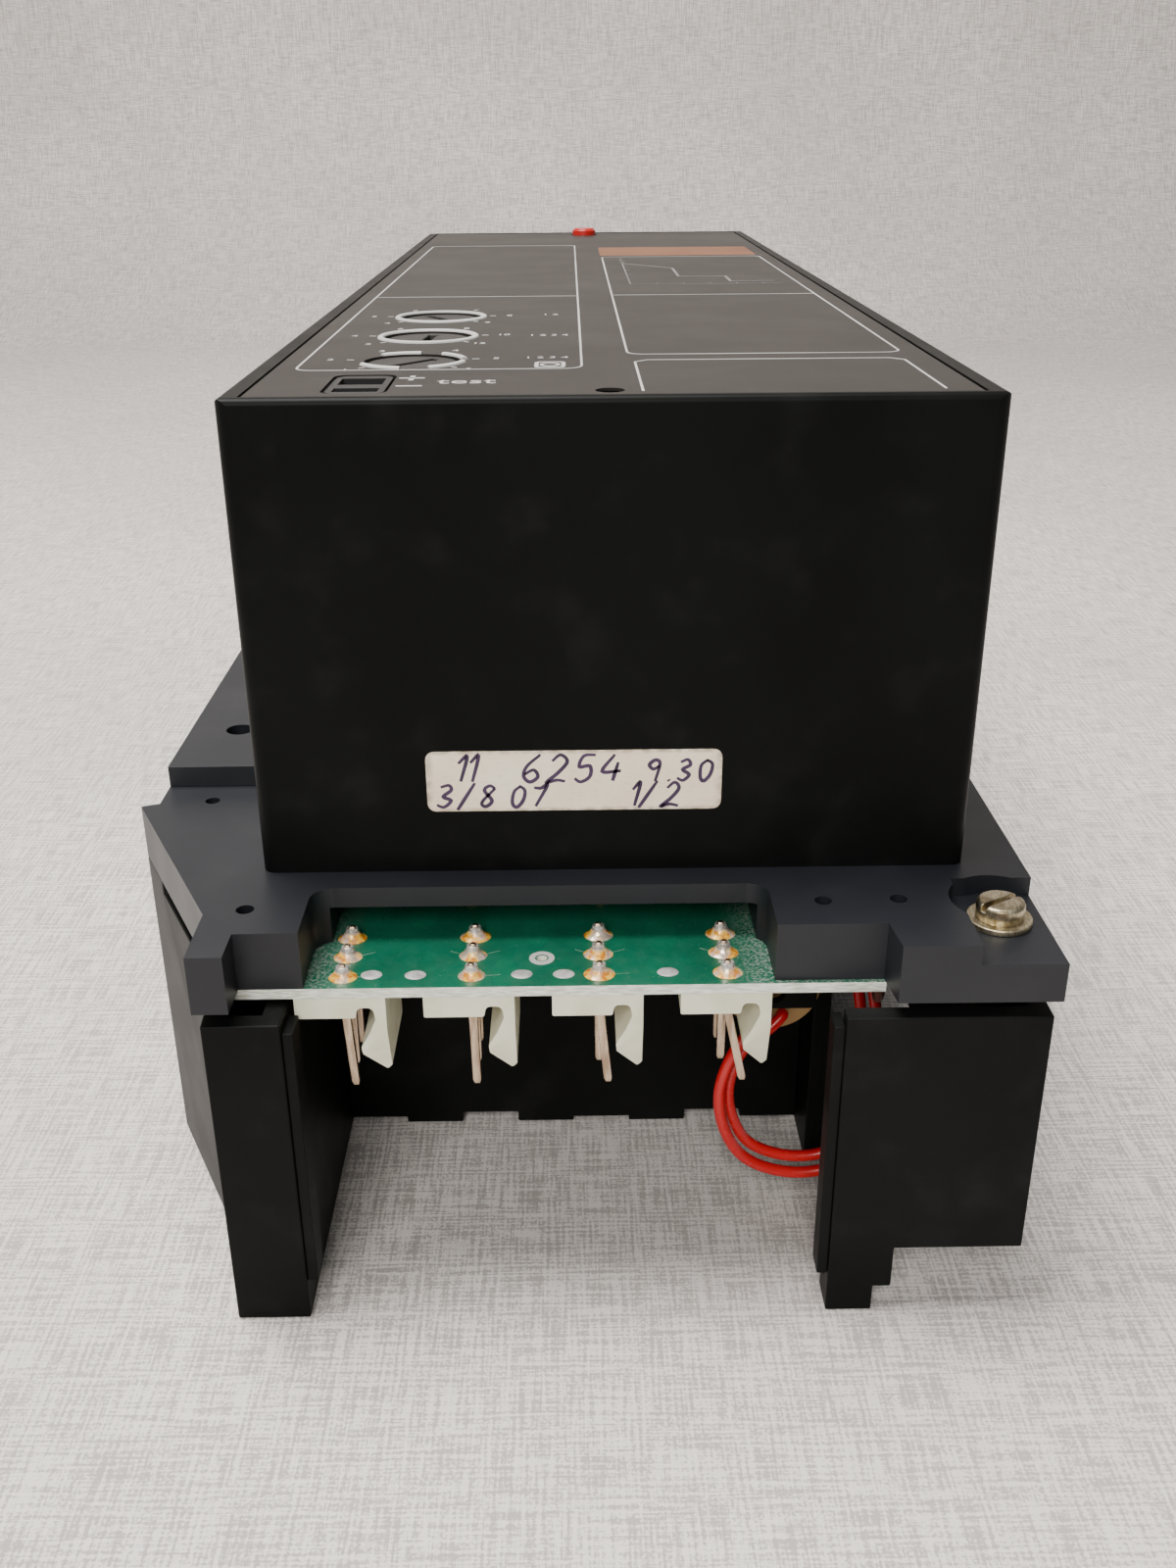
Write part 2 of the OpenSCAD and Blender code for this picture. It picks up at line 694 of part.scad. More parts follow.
module right_cheek() {
    w = cheek_wall;
    f = base_front;
    color("#121414") difference() {
        union() {
            translate([0, f + w, 0]) rotate([90, 0, 0]) linear_extrude(w) right_leg_face();
            block([leg_right, f, floor_z], [leg_right + 7, f + 6, floor_z + 4.5]);
            block([cheek_right - w, f, step_z], [cheek_right, cheek_back, leg_top]);
            block([cheek_right - w, 27, leg_top - 1], [cheek_right, cheek_back, under]);
            block([bay_right, 12, floor_z], [bay_right + w, cheek_back, leg_top]);
            block([bay_right, bay_y + 6, leg_top - 1], [bay_right + w, cheek_back, under]);
            block([bay_right, cheek_back - w, step_z], [cheek_right, cheek_back, under]);
            for (y = cheek_screw_ys) {
                post(right_screw_x, y, lug_z, under, 8);
                block([bay_right, y - 4, lug_z], [right_screw_x, y + 4, under]);
            }
            post(screw_x, screw_y, leg_top - 14, under, 7.4);
            block([screw_x, screw_y - 1.2, leg_top - 14], [cheek_right, screw_y + 1.2, leg_top]);
        }
        for (y = cheek_screw_ys) post(right_screw_x, y, under - 14, 0, 2.8);
        post(screw_x, screw_y, leg_top - 10, 0, insert_d + 2 * fit_gap);
    }
}

// Cross wall at the back of the connector bay, with a toothed lower edge
module bay_wall() {
    count = len(tooth_heights);
    left = bay_left + 0.1;
    step = (bay_right - bay_left - 0.2) / count;
    color("#0f1111") difference() {
        union() for (i = [0:count - 1])
            block([left + i * step, bay_y, floor_z + tooth_heights[i]],
                [left + (i + 1) * step, bay_y + bay_wall_t, under]);
        rod_y(coil_x, coil_z, bay_y - 1, bay_y + bay_wall_t + 1, plunger_d + 2 * run_gap);
    }
}

module rear_bridge() {
    color("#0f1111")
        block([bay_left + 0.1, cheek_back - cheek_wall, step_z], [bay_right - 0.1, cheek_back, under]);
}

module cheek_screws() {
    color("#a9a9a2") for (x = [left_screw_x, right_screw_x])
        for (y = cheek_screw_ys) pan_screw(x, y, -3, 5.8, 2.4, 2.7, 18);
}

module clamp_washer() {
    color("#c2b894") difference() {
        post(screw_x, screw_y, pocket_z, pocket_z + washer_t, 9.3);
        post(screw_x, screw_y, pocket_z - 1, pocket_z + 2, clamp_d + 2 * screw_gap);
    }
}

module clamp_screw() {
    low = pocket_z + washer_t;
    color("#b3a57c") {
        difference() {
            union() {
                post(screw_x, screw_y, low, low + 2.2, 6.9);
                post(screw_x, screw_y, low + 2.2, low + 2.6, 6.1);
            }
            translate([screw_x, screw_y, low + 1.3]) rotate([0, 0, 30]) block([-5, -0.5, 0], [5, 0.5, 3]);
        }
        post(screw_x, screw_y, leg_top - 6, low, clamp_d);
    }
}

module screw_insert() {
    color("#c8a85a") difference() {
        post(screw_x, screw_y, leg_top - 10, under - fit_gap, insert_d);
        post(screw_x, screw_y, leg_top - 11, under, clamp_d + 2 * fit_gap);
    }
}

module guide_strips() {
    color("#1a1c1c") {
        block([bay_left, 1 - reach_front, strip_low], [bay_left + 1.6, 6 - reach_front, strip_high]);
        block([leg_right - 1.6, 1 - reach_front, strip_low], [leg_right, 5 - reach_front, strip_high]);
    }
}

// ---- connector board ----

module connector_board() {
    color("#0a6e4b") difference() {
        block([board_left, board_front, board_low], [board_right, board_back, under]);
        for (x = header_x)
            for (y = pin_y) post(x, y, board_low - 1, 0, pin_t * 1.414 + 0.2);
        post(ring_hole[0], ring_hole[1], board_low - 1, 0, ring_hole[2]);
        for (p = relay_joints) post(p[0], p[1], board_low - 1, 0, 1.2);
    }
}

// Side profile of a header: base, U notch and hooked friction lock
module header_profile() {
    polygon([[-6.8, 0], [-6.8, -3.6], [1.8, -3.6], [2.2, -2.3], [3.2, -1.7], [4.3, -2.3], [4.7, -3.6],
        [3.7, -6.2], [2.3, -8.5], [2.4, -9.9], [5.5, -14], [6.2, -13.3], [6.2, 0]]);
}

// Square hole that a header pin passes through
module pin_hole(x, y, low, high) {
    r = pin_t / 2 + fit_gap;
    block([x - r, y - r, low], [x + r, y + r, high]);
}

module header_housings() {
    length = 2 * (pin_pitch + housing_end);
    color("#c9c9b4") for (x = header_x) difference() {
        translate([x, pin_y[2] + housing_end, board_low]) rotate([90, 0, 0]) linear_extrude(length)
            header_profile();
        for (y = pin_y) pin_hole(x, y, board_low - 5, 0);
    }
}

// Pin that leans sideways below its housing by so many degrees
module header_pin(x, y, lean) {
    r = pin_t / 2;
    tip = pin_root - pin_drop;
    block([x - r, y - r, board_low - pin_root - 0.1], [x + r, y + r, under + 2.1]);
    translate([x, y, board_low - pin_root]) rotate([0, -lean, 0]) {
        block([-r, -r, tip + 1], [r, r, 0]);
        block([0.2 - r, 0.2 - r, tip], [r - 0.2, r - 0.2, tip + 1.2]);
    }
}

module header_pins() {
    color("#b4a08c") for (i = [0:3])
        for (k = [0:2]) header_pin(header_x[i], pin_y[k], k == 0 ? front_lean[i] : 0);
}

module solder_joints() {
    color("#c9b79a") {
        for (x = header_x)
            for (y = pin_y) difference() {
                translate([x, y, under]) cylinder(d1 = joint_d, d2 = 2.1, h = joint_h);
                pin_hole(x, y, under - 1, 0);
            }
        for (p = relay_joints) translate([p[0], p[1], under]) cylinder(d1 = 3, d2 = 1.2, h = 1.4);
    }
}

// ---- trip actuator and wires ----

module trip_yoke() {
    x0 = coil_x - yoke_w;
    x1 = coil_x + yoke_w;
    top = board_low - 0.4;
    color("#8d9094") difference() {
        union() {
            block([x0, coil_front - yoke_t, top - yoke_t], [x1, coil_back + yoke_t, top]);
            block([x0, coil_front - yoke_t, coil_z - 3], [x1, coil_front, top]);
            block([x0, coil_back, coil_z - 7], [x1, coil_back + yoke_t, top]);
        }
        rod_y(coil_x, coil_z, coil_front - 3, coil_back + 3, plunger_d + 2 * run_gap);
    }
}

module coil_bobbin() {
    front = coil_front + 0.1;
    back = coil_back - 0.1;
    color("#ded8c4") difference() {
        union() {
            rod_y(coil_x, coil_z, front, back, plunger_d + 2.4);
            rod_y(coil_x, coil_z, front, front + 1, coil_d + 0.6);
            rod_y(coil_x, coil_z, back - 1, back, coil_d + 0.6);
        }
        rod_y(coil_x, coil_z, coil_front - 3, coil_back + 3, plunger_d + 2 * run_gap);
    }
}

module trip_coil() {
    color("#b88f55") difference() {
        rod_y(coil_x, coil_z, coil_front + 1.15, coil_back - 1.15, coil_d);
        rod_y(coil_x, coil_z, coil_front, coil_back, plunger_d + 2.5);
    }
}

module trip_plunger() {
    color("#a4a6a8") {
        rod_y(coil_x, coil_z, coil_front + 5, plunger_out + 1, plunger_d);
        rod_y(coil_x, coil_z, plunger_out + 1, plunger_out + 2.5, plunger_d + 4);
    }
}

module plunger_spring() {
    color("#b8b8b0") translate([coil_x, 0, coil_z]) rotate([-90, 0, 0])
        coil_spring(plunger_d + 2, 0.6, bay_y + bay_wall_t + 0.35, plunger_out + 0.65, 4);
}

module red_wires() {
    color("#be1e1e") {
        tube(red_route_1, wire_d, 8);
        tube(red_route_2, wire_d, 8);
    }
}

module brown_wire() {
    color("#6e3a26") tube(brown_route, wire_d - 0.3, 8);
}

seat() cover_shell();
seat() face_label();
seat() id_sticker();
seat() test_socket();
seat() test_contacts();
seat() seal_screw();
seat() dial(0);  // dial_1
seat() dial(1);  // dial_2
seat() dial(2);  // dial_3
seat() rotary_switch(0);  // rotary_switch_1
seat() rotary_switch(1);  // rotary_switch_2
seat() rotary_switch(2);  // rotary_switch_3
seat() dial_board();
seat() dial_board_screws();
seat() reset_button();
seat() button_spring();
seat() button_bracket();
seat() reset_switch();
seat() main_board();
seat() board_spacers();
seat() main_board_screws();
seat() transformer_core();
seat() transformer_winding();
seat() capacitors();
seat() film_capacitors();
seat() logic_chips();
seat() power_resistors();
seat() trip_relay();
seat() wire_terminal();
seat() ribbon_sockets();
seat() ribbon_cable();
seat() stacking_connector();
seat() stacking_pins();
seat() front_plate();
seat() base_deck();
seat() cover_screws();
seat() left_cheek();
seat() right_cheek();
seat() bay_wall();
seat() rear_bridge();
seat() cheek_screws();
seat() clamp_screw();
seat() clamp_washer();
seat() screw_insert();
seat() guide_strips();
seat() connector_board();
seat() header_housings();
seat() header_pins();
seat() solder_joints();
seat() trip_yoke();
seat() coil_bobbin();
seat() trip_coil();
seat() trip_plunger();
seat() plunger_spring();
seat() red_wires();
seat() brown_wire();
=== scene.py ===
import json
import math
import random

import bmesh
import bpy
from mathutils import Matrix, Vector


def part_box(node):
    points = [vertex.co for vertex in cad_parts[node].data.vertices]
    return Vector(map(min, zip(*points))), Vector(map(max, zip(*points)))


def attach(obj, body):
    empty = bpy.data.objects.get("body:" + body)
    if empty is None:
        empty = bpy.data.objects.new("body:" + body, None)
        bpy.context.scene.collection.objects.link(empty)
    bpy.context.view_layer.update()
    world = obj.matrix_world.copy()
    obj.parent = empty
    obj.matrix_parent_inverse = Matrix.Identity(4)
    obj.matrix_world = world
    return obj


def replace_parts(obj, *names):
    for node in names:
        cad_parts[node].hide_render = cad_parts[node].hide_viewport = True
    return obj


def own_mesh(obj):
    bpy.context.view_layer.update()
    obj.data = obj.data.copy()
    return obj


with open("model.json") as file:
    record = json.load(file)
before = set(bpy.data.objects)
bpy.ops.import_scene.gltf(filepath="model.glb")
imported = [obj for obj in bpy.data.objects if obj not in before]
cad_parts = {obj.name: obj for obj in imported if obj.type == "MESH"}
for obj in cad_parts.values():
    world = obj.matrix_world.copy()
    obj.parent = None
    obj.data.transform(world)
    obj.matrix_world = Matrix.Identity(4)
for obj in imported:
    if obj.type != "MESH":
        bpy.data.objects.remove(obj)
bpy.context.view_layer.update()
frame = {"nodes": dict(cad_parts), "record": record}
SLOT_OF = {s["node"]: s["material_slot"] for s in frame["record"]["subparts"]}

# ---------------------------------------------------------------------------
# Sizes, in millimetres in the cover's frame: X = 0 on the cover's centre line,
# Y = 0 on its front face and Z = 0 on top of the front plate.
# ---------------------------------------------------------------------------
MM = 0.001
COVER_LOW, COVER_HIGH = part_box("cover_shell")
SEAT = Vector(((COVER_LOW.x + COVER_HIGH.x) / 2, COVER_LOW.y, COVER_LOW.z))
LABEL_TOP = (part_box("face_label")[1].z - SEAT.z) / MM
INK = 0.05


def at(x, y, z):
    """A point of the cover's frame, in millimetres, as a place in metres."""
    return SEAT + Vector((x, y, z)) * MM


def local(node):
    """Lowest and highest corner of a CAD node, in millimetres in the cover's frame."""
    low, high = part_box(node)
    return (low - SEAT) / MM, (high - SEAT) / MM


BOARD_LOW, BOARD_HIGH = local("connector_board")
HOUSING_LOW, HOUSING_HIGH = local("header_housings")
PIN_LOW, PIN_HIGH = local("header_pins")
STICKER_LOW, STICKER_HIGH = local("id_sticker")
WASHER_LOW, WASHER_HIGH = local("clamp_washer")
DIAL_CENTRES = [(local(f"dial_{i}")[0] + local(f"dial_{i}")[1]) / 2 for i in (1, 2, 3)]
HEADER_PITCH = 18.3
HEADER_X = [HOUSING_LOW.x + 6.8 + i * HEADER_PITCH for i in range(4)]
PIN_T = 1.2
PIN_Y = [HOUSING_LOW.y + 2.8 + i * 5.5 for i in range(3)]
FRONT_LEAN = [3.0, 1.0, 5.5, 12.0]
RED_WIRE_D = 1.9
BROWN_WIRE_D = 1.6

# ---------------------------------------------------------------------------
# Materials
# ---------------------------------------------------------------------------


class Shader:
    """One procedural material: adds nodes, links them and keeps the code short."""

    def __init__(self, name, roughness, metallic=0.0, specular=0.5):
        self.material = bpy.data.materials.new(name)
        self.material.use_nodes = True
        self.nodes = self.material.node_tree.nodes
        self.links = self.material.node_tree.links
        self.bsdf = self.nodes["Principled BSDF"]
        self.bsdf.inputs["Roughness"].default_value = roughness
        self.bsdf.inputs["Metallic"].default_value = metallic
        self.bsdf.inputs["Specular IOR Level"].default_value = specular
        self.place = self.nodes.new("ShaderNodeTexCoord").outputs["Object"]

    def feed(self, socket, value):
        if isinstance(value, bpy.types.NodeSocket):
            self.links.new(value, socket)
        else:
            socket.default_value = value

    def stretch(self, sx, sy, sz):
        """The object's coordinates, scaled per axis."""
        node = self.nodes.new("ShaderNodeMapping")
        node.inputs["Scale"].default_value = (sx, sy, sz)
        self.feed(node.inputs["Vector"], self.place)
        return node.outputs["Vector"]

    def noise(self, size_mm, detail=3.0, place=None):
        node = self.nodes.new("ShaderNodeTexNoise")
        node.inputs["Scale"].default_value = 1 / (size_mm * MM)
        node.inputs["Detail"].default_value = detail
        self.feed(node.inputs["Vector"], place or self.place)
        return node.outputs["Fac"]

    def cells(self, size_mm, output="Distance", place=None):
        node = self.nodes.new("ShaderNodeTexVoronoi")
        node.inputs["Scale"].default_value = 1 / (size_mm * MM)
        self.feed(node.inputs["Vector"], place or self.place)
        return node.outputs[output]

    def math(self, operation, a, b=0.0):
        node = self.nodes.new("ShaderNodeMath")
        node.operation = operation
        self.feed(node.inputs[0], a)
        self.feed(node.inputs[1], b)
        return node.outputs[0]

    def span(self, value, low, high, to_low=0.0, to_high=1.0):
        """Maps low..high smoothly to to_low..to_high."""
        node = self.nodes.new("ShaderNodeMapRange")
        node.interpolation_type = "SMOOTHSTEP"
        for name, number in (("From Min", low), ("From Max", high), ("To Min", to_low), ("To Max", to_high)):
            node.inputs[name].default_value = number
        self.feed(node.inputs["Value"], value)
        return node.outputs["Result"]

    def mix(self, fac, a, b):
        node = self.nodes.new("ShaderNodeMix")
        node.data_type = "RGBA"
        self.feed(node.inputs["Factor"], fac)
        for socket, value in ((node.inputs["A"], a), (node.inputs["B"], b)):
            self.feed(socket, value if isinstance(value, bpy.types.NodeSocket) else (*value, 1.0))
        return node.outputs["Result"]

    def axis(self, source, name):
        node = self.nodes.new("ShaderNodeSeparateXYZ")
        self.feed(node.inputs["Vector"], source)
        return node.outputs[name]

    def normal(self):
        return self.nodes.new("ShaderNodeNewGeometry").outputs["Normal"]

    def colour(self, value):
        self.feed(self.bsdf.inputs["Base Color"], value)

    def rough(self, value):
        self.feed(self.bsdf.inputs["Roughness"], value)

    def bump(self, height, strength, depth_mm):
        node = self.nodes.new("ShaderNodeBump")
        node.inputs["Strength"].default_value = strength
        node.inputs["Distance"].default_value = depth_mm * MM
        self.feed(node.inputs["Height"], height)
        self.feed(self.bsdf.inputs["Normal"], node.outputs["Normal"])


def moulded(name, dark, light, rough, grain_mm=0.5, depth_mm=0.02, dust=0.0, patch_mm=30, specular=0.5):
    """Moulded plastic: slow colour patches, a fine grain, and specks of dust."""
    s = Shader(name, rough, specular=specular)
    body = s.mix(s.span(s.noise(patch_mm, 4.0), 0.35, 0.65), dark, light)
    grain = s.noise(grain_mm, 5.0)
    if dust:
        rare = s.span(s.axis(s.cells(5.0, "Color"), "X"), 1 - dust, 1 - dust + 0.03)
        dots = s.span(s.cells(5.0), 0.05, 0.09, 1.0, 0.0)
        specks = s.math("MULTIPLY", rare, dots)
        film = s.span(s.noise(9.0, 8.0), 0.5, 0.85, 0.0, 0.035)
        body = s.mix(film, body, (0.14, 0.14, 0.135))
        body = s.mix(s.math("MULTIPLY", specks, 0.55), body, (0.42, 0.42, 0.40))
    s.colour(body)
    s.rough(s.span(s.noise(patch_mm / 3, 6.0), 0.3, 0.7, rough - 0.02, rough + 0.02))
    s.bump(grain, 0.6, depth_mm)
    return s.material


def metal(name, dark, light, rough, stretch=(1, 1, 12), grain_mm=1.2, tarnish=None):
    """Plated metal with drawn lines and tarnished patches."""
    s = Shader(name, rough, metallic=1.0)
    lines = s.noise(grain_mm, 4.0, s.stretch(*stretch))
    body = s.mix(s.span(lines, 0.35, 0.65), dark, light)
    if tarnish:
        body = s.mix(s.span(s.noise(2.5, 6.0), 0.5, 0.72), body, tarnish)
    s.colour(body)
    s.rough(s.span(s.noise(3.0, 5.0), 0.3, 0.7, rough - 0.08, rough + 0.12))
    s.bump(lines, 0.35, 0.02)
    return s.material


def striped(name, dark, light, rough, pitch_mm, axis, metallic=0.0):
    """Layers along one axis: tape turns, laminations or ribbon strands."""
    s = Shader(name, rough, metallic=metallic)
    wave = s.math("SINE", s.math("MULTIPLY", s.axis(s.place, axis), 2 * math.pi / (pitch_mm * MM)))
    body = s.mix(s.span(s.noise(6.0, 4.0), 0.3, 0.7), dark, light)
    s.colour(s.mix(s.span(wave, 0.5, 1.0, 0.0, 0.5), body, tuple(c * 0.45 for c in dark)))
    s.rough(s.span(s.noise(2.0), 0.3, 0.7, rough - 0.05, rough + 0.1))
    s.bump(wave, 0.5, 0.08)
    return s.material


def circuit_board(name):
    """Green solder mask with darker copper areas, a fibrous pale edge and dust at the window's ends."""
    s = Shader(name, 0.28, specular=0.55)
    s.bsdf.inputs["Coat Weight"].default_value = 0.25
    s.bsdf.inputs["Coat Roughness"].default_value = 0.2
    copper = s.span(s.cells(7.0, "Distance", s.stretch(1.0, 0.45, 1.0)), 0.32, 0.36)
    mask = s.mix(s.span(s.noise(12.0, 4.0), 0.35, 0.65), (0.002, 0.085, 0.042), (0.005, 0.120, 0.062))
    mask = s.mix(s.math("MULTIPLY", copper, 0.22), mask, (0.002, 0.07, 0.045))
    x = s.axis(s.place, "X")
    ends = s.math("MAXIMUM", s.span(x, at(-45, 0, 0).x, at(-36.5, 0, 0).x, 1.0, 0.0),
                  s.span(x, at(15.0, 0, 0).x, at(22, 0, 0).x))
    fluff = s.span(s.noise(0.45, 9.0), 0.36, 0.70)
    light_dust = s.span(s.noise(0.5, 6.0), 0.66, 0.76, 0.0, 0.25)
    dust = s.math("MAXIMUM", s.math("MULTIPLY", s.math("MULTIPLY", ends, fluff), 0.85), light_dust)
    mask = s.mix(dust, mask, (0.24, 0.28, 0.24))
    flat = s.span(s.math("ABSOLUTE", s.axis(s.normal(), "Z")), 0.4, 0.6)
    fibre = s.mix(s.span(s.noise(0.7, 8.0, s.stretch(0.35, 1, 3)), 0.35, 0.65),
                  (0.52, 0.54, 0.44), (0.90, 0.90, 0.80))
    s.colour(s.mix(flat, fibre, mask))
    s.rough(s.span(s.noise(2.0, 5.0), 0.3, 0.7, 0.24, 0.42))
    s.bump(s.math("ADD", copper, s.noise(0.4, 4.0)), 0.3, 0.05)
    return s.material


def solder(name):
    """Bright solder cones whose feet sit in amber flux."""
    s = Shader(name, 0.22, metallic=1.0)
    height = s.span(s.axis(s.place, "Z"), at(0, 0, BOARD_HIGH.z + 0.2).z, at(0, 0, BOARD_HIGH.z + 1.7).z)
    silver = s.mix(s.span(s.noise(0.8, 5.0), 0.35, 0.65), (0.62, 0.57, 0.50), (0.92, 0.89, 0.84))
    flux = s.mix(s.span(s.noise(0.9, 4.0), 0.4, 0.6), (0.60, 0.20, 0.01), (0.95, 0.55, 0.07))
    amber = s.math("MULTIPLY", s.span(s.noise(2.4, 2.0), 0.44, 0.66, 1.0, 0.25), s.span(height, 0.3, 1.0, 1.0, 0.0))
    s.colour(s.mix(amber, silver, flux))
    s.feed(s.bsdf.inputs["Metallic"], s.span(amber, 0.1, 0.7, 0.75, 0.15))
    s.rough(s.span(s.noise(0.6, 5.0), 0.3, 0.7, 0.12, 0.34))
    s.bump(s.noise(0.5, 4.0), 0.4, 0.08)
    return s.material


def paper(name):
    """Cream label paper: fibres, yellowed patches and a grimy outline."""
    s = Shader(name, 0.75, specular=0.3)
    middle = (STICKER_LOW + STICKER_HIGH) / 2
    half = (STICKER_HIGH - STICKER_LOW) / 2
    x = s.math("ABSOLUTE", s.math("SUBTRACT", s.axis(s.place, "X"), at(middle.x, 0, 0).x))
    z = s.math("ABSOLUTE", s.math("SUBTRACT", s.axis(s.place, "Z"), at(0, 0, middle.z).z))
    rim = s.math("MAXIMUM", s.span(x, (half.x - 1.4) * MM, half.x * MM), s.span(z, (half.z - 0.8) * MM, half.z * MM))
    grime = s.math("MULTIPLY", rim, s.span(s.noise(1.6, 6.0), 0.35, 0.65, 0.15, 0.75))
    sheet = s.mix(s.span(s.noise(9.0, 5.0), 0.35, 0.65), (0.95, 0.79, 0.59), (0.98, 0.87, 0.69))
    fibres = s.noise(0.35, 7.0, s.stretch(0.3, 1, 1))
    sheet = s.mix(s.span(fibres, 0.5, 0.75, 0.0, 0.25), sheet, (0.52, 0.43, 0.33))
    s.colour(s.mix(grime, sheet, (0.30, 0.22, 0.16)))
    s.bump(fibres, 0.5, 0.03)
    return s.material


def pale_floor(name, base, shade):
    """Pale table top with a faint woven texture."""
    s = Shader(name, 0.6, specular=0.25)
    warp = s.noise(0.55, 3.0, s.stretch(1.0, 0.05, 0.05))
    weft = s.noise(0.55, 3.0, s.stretch(0.05, 1.0, 1.0))
    grain = s.noise(0.5, 4.0)
    weave = s.math("ADD", s.math("MULTIPLY", s.math("ADD", warp, weft), 0.35), s.math("MULTIPLY", grain, 0.3))
    body = s.mix(s.span(weave, 0.45, 0.56), base, shade)
    s.colour(s.mix(s.span(s.noise(160.0, 3.0), 0.3, 0.7, 0.0, 0.25), body, shade))
    s.bump(weave, 0.25, 0.15)
    return s.material


MATERIALS = {
    "cover_black": moulded("cover_black", (0.0026, 0.0030, 0.0026), (0.0040, 0.0045, 0.0040), 0.42,
                           0.35, 0.012, dust=0.03, specular=0.07),
    "plate_black": moulded("plate_black", (0.0080, 0.0091, 0.0122), (0.0112, 0.0125, 0.0160), 0.44,
                           0.4, 0.02, dust=0.03, specular=0.38),
    "cheek_black": moulded("cheek_black", (0.0030, 0.0034, 0.0031), (0.0050, 0.0054, 0.0050), 0.46,
                           0.4, 0.02, dust=0.03, specular=0.08),
    "socket_black": moulded("socket_black", (0.004, 0.004, 0.004), (0.008, 0.008, 0.008), 0.5),
    "label_grey": moulded("label_grey", (0.024, 0.0205, 0.0185), (0.027, 0.0235, 0.021), 0.46,
                          0.25, 0.008, dust=0.012, patch_mm=60, specular=0.15),
    "dial_grey": moulded("dial_grey", (0.022, 0.020, 0.018), (0.030, 0.027, 0.025), 0.5,
                         0.3, 0.02, dust=0.03, specular=0.26),
    "switch_blue": moulded("switch_blue", (0.02, 0.05, 0.12), (0.03, 0.07, 0.16), 0.4),
    "button_red": moulded("button_red", (0.42, 0.010, 0.008), (0.52, 0.016, 0.012), 0.32, 0.4, 0.01),
    "chip_black": moulded("chip_black", (0.008, 0.008, 0.009), (0.014, 0.014, 0.015), 0.6),
    "film_yellow": moulded("film_yellow", (0.42, 0.24, 0.02), (0.52, 0.32, 0.03), 0.3),
    "capacitor_blue": moulded("capacitor_blue", (0.01, 0.02, 0.12), (0.02, 0.03, 0.18), 0.25),
    "resistor_green": moulded("resistor_green", (0.20, 0.30, 0.20), (0.28, 0.38, 0.28), 0.5),
    "relay_ivory": moulded("relay_ivory", (0.55, 0.52, 0.42), (0.64, 0.61, 0.50), 0.45),
    "terminal_green": moulded("terminal_green", (0.015, 0.11, 0.03), (0.025, 0.15, 0.05), 0.45),
    "header_ivory": moulded("header_ivory", (0.68, 0.67, 0.49), (0.78, 0.77, 0.60), 0.42, 0.8, 0.02, patch_mm=6),
    "wire_red": moulded("wire_red", (0.46, 0.008, 0.010), (0.56, 0.013, 0.014), 0.26, 1.5, 0.02),
    "wire_brown": moulded("wire_brown", (0.085, 0.022, 0.010), (0.12, 0.034, 0.016), 0.35, 1.5, 0.02),
    "ink_white": moulded("ink_white", (0.42, 0.41, 0.39), (0.56, 0.55, 0.52), 0.5, 0.3, 0.01),
    "ink_faint": moulded("ink_faint", (0.13, 0.125, 0.12), (0.20, 0.19, 0.18), 0.5, 0.3, 0.01),
    "ink_orange": moulded("ink_orange", (0.15, 0.055, 0.024), (0.19, 0.075, 0.034), 0.5, 0.3, 0.01, specular=0.3),
    "ink_pen": moulded("ink_pen", (0.030, 0.012, 0.045), (0.055, 0.025, 0.075), 0.6, 0.4, 0.01, patch_mm=3),
    "contact_brass": metal("contact_brass", (0.48, 0.32, 0.12), (0.62, 0.45, 0.20), 0.32),
    "screw_steel": metal("screw_steel", (0.40, 0.40, 0.39), (0.58, 0.58, 0.56), 0.3),
    "spring_steel": metal("spring_steel", (0.38, 0.38, 0.37), (0.55, 0.55, 0.53), 0.25),
    "bracket_steel": metal("bracket_steel", (0.34, 0.35, 0.36), (0.50, 0.51, 0.52), 0.36, (12, 1, 1)),
    "screw_zinc": metal("screw_zinc", (0.40, 0.33, 0.20), (0.62, 0.55, 0.40), 0.36, (3, 1, 1), 0.9,
                        tarnish=(0.17, 0.13, 0.08)),
    "pin_tin": metal("pin_tin", (0.36, 0.26, 0.18), (0.58, 0.46, 0.34), 0.30, (2, 2, 0.3), 1.6),
    "core_iron": striped("core_iron", (0.09, 0.09, 0.10), (0.14, 0.14, 0.15), 0.5, 1.0, "Y", 0.6),
    "coil_tape": striped("coil_tape", (0.36, 0.20, 0.07), (0.46, 0.28, 0.11), 0.42, 3.2, "Y"),
    "ribbon_grey": striped("ribbon_grey", (0.22, 0.23, 0.24), (0.28, 0.29, 0.30), 0.45, 1.27, "X"),
    "board_green": circuit_board("board_green"),
    "pad_tin": moulded("pad_tin", (0.30, 0.29, 0.28), (0.46, 0.44, 0.43), 0.35, 0.5, 0.04, patch_mm=2),
    "solder": solder("solder"),
    "sticker_paper": paper("sticker_paper"),
}

# ---------------------------------------------------------------------------
# Mesh helpers
# ---------------------------------------------------------------------------


def add_piece(name, mesh, slot, body="housing", sharp_deg=40):
    """Links a mesh as a piece, paints it and lets it ride on its body."""
    piece = bpy.data.objects.new(name, mesh)
    bpy.context.scene.collection.objects.link(piece)
    mesh.materials.clear()
    mesh.materials.append(MATERIALS[slot])
    if not mesh.has_custom_normals:
        for polygon in mesh.polygons:
            polygon.use_smooth = True
        mesh.set_sharp_from_angle(angle=math.radians(sharp_deg))
    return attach(piece, body)


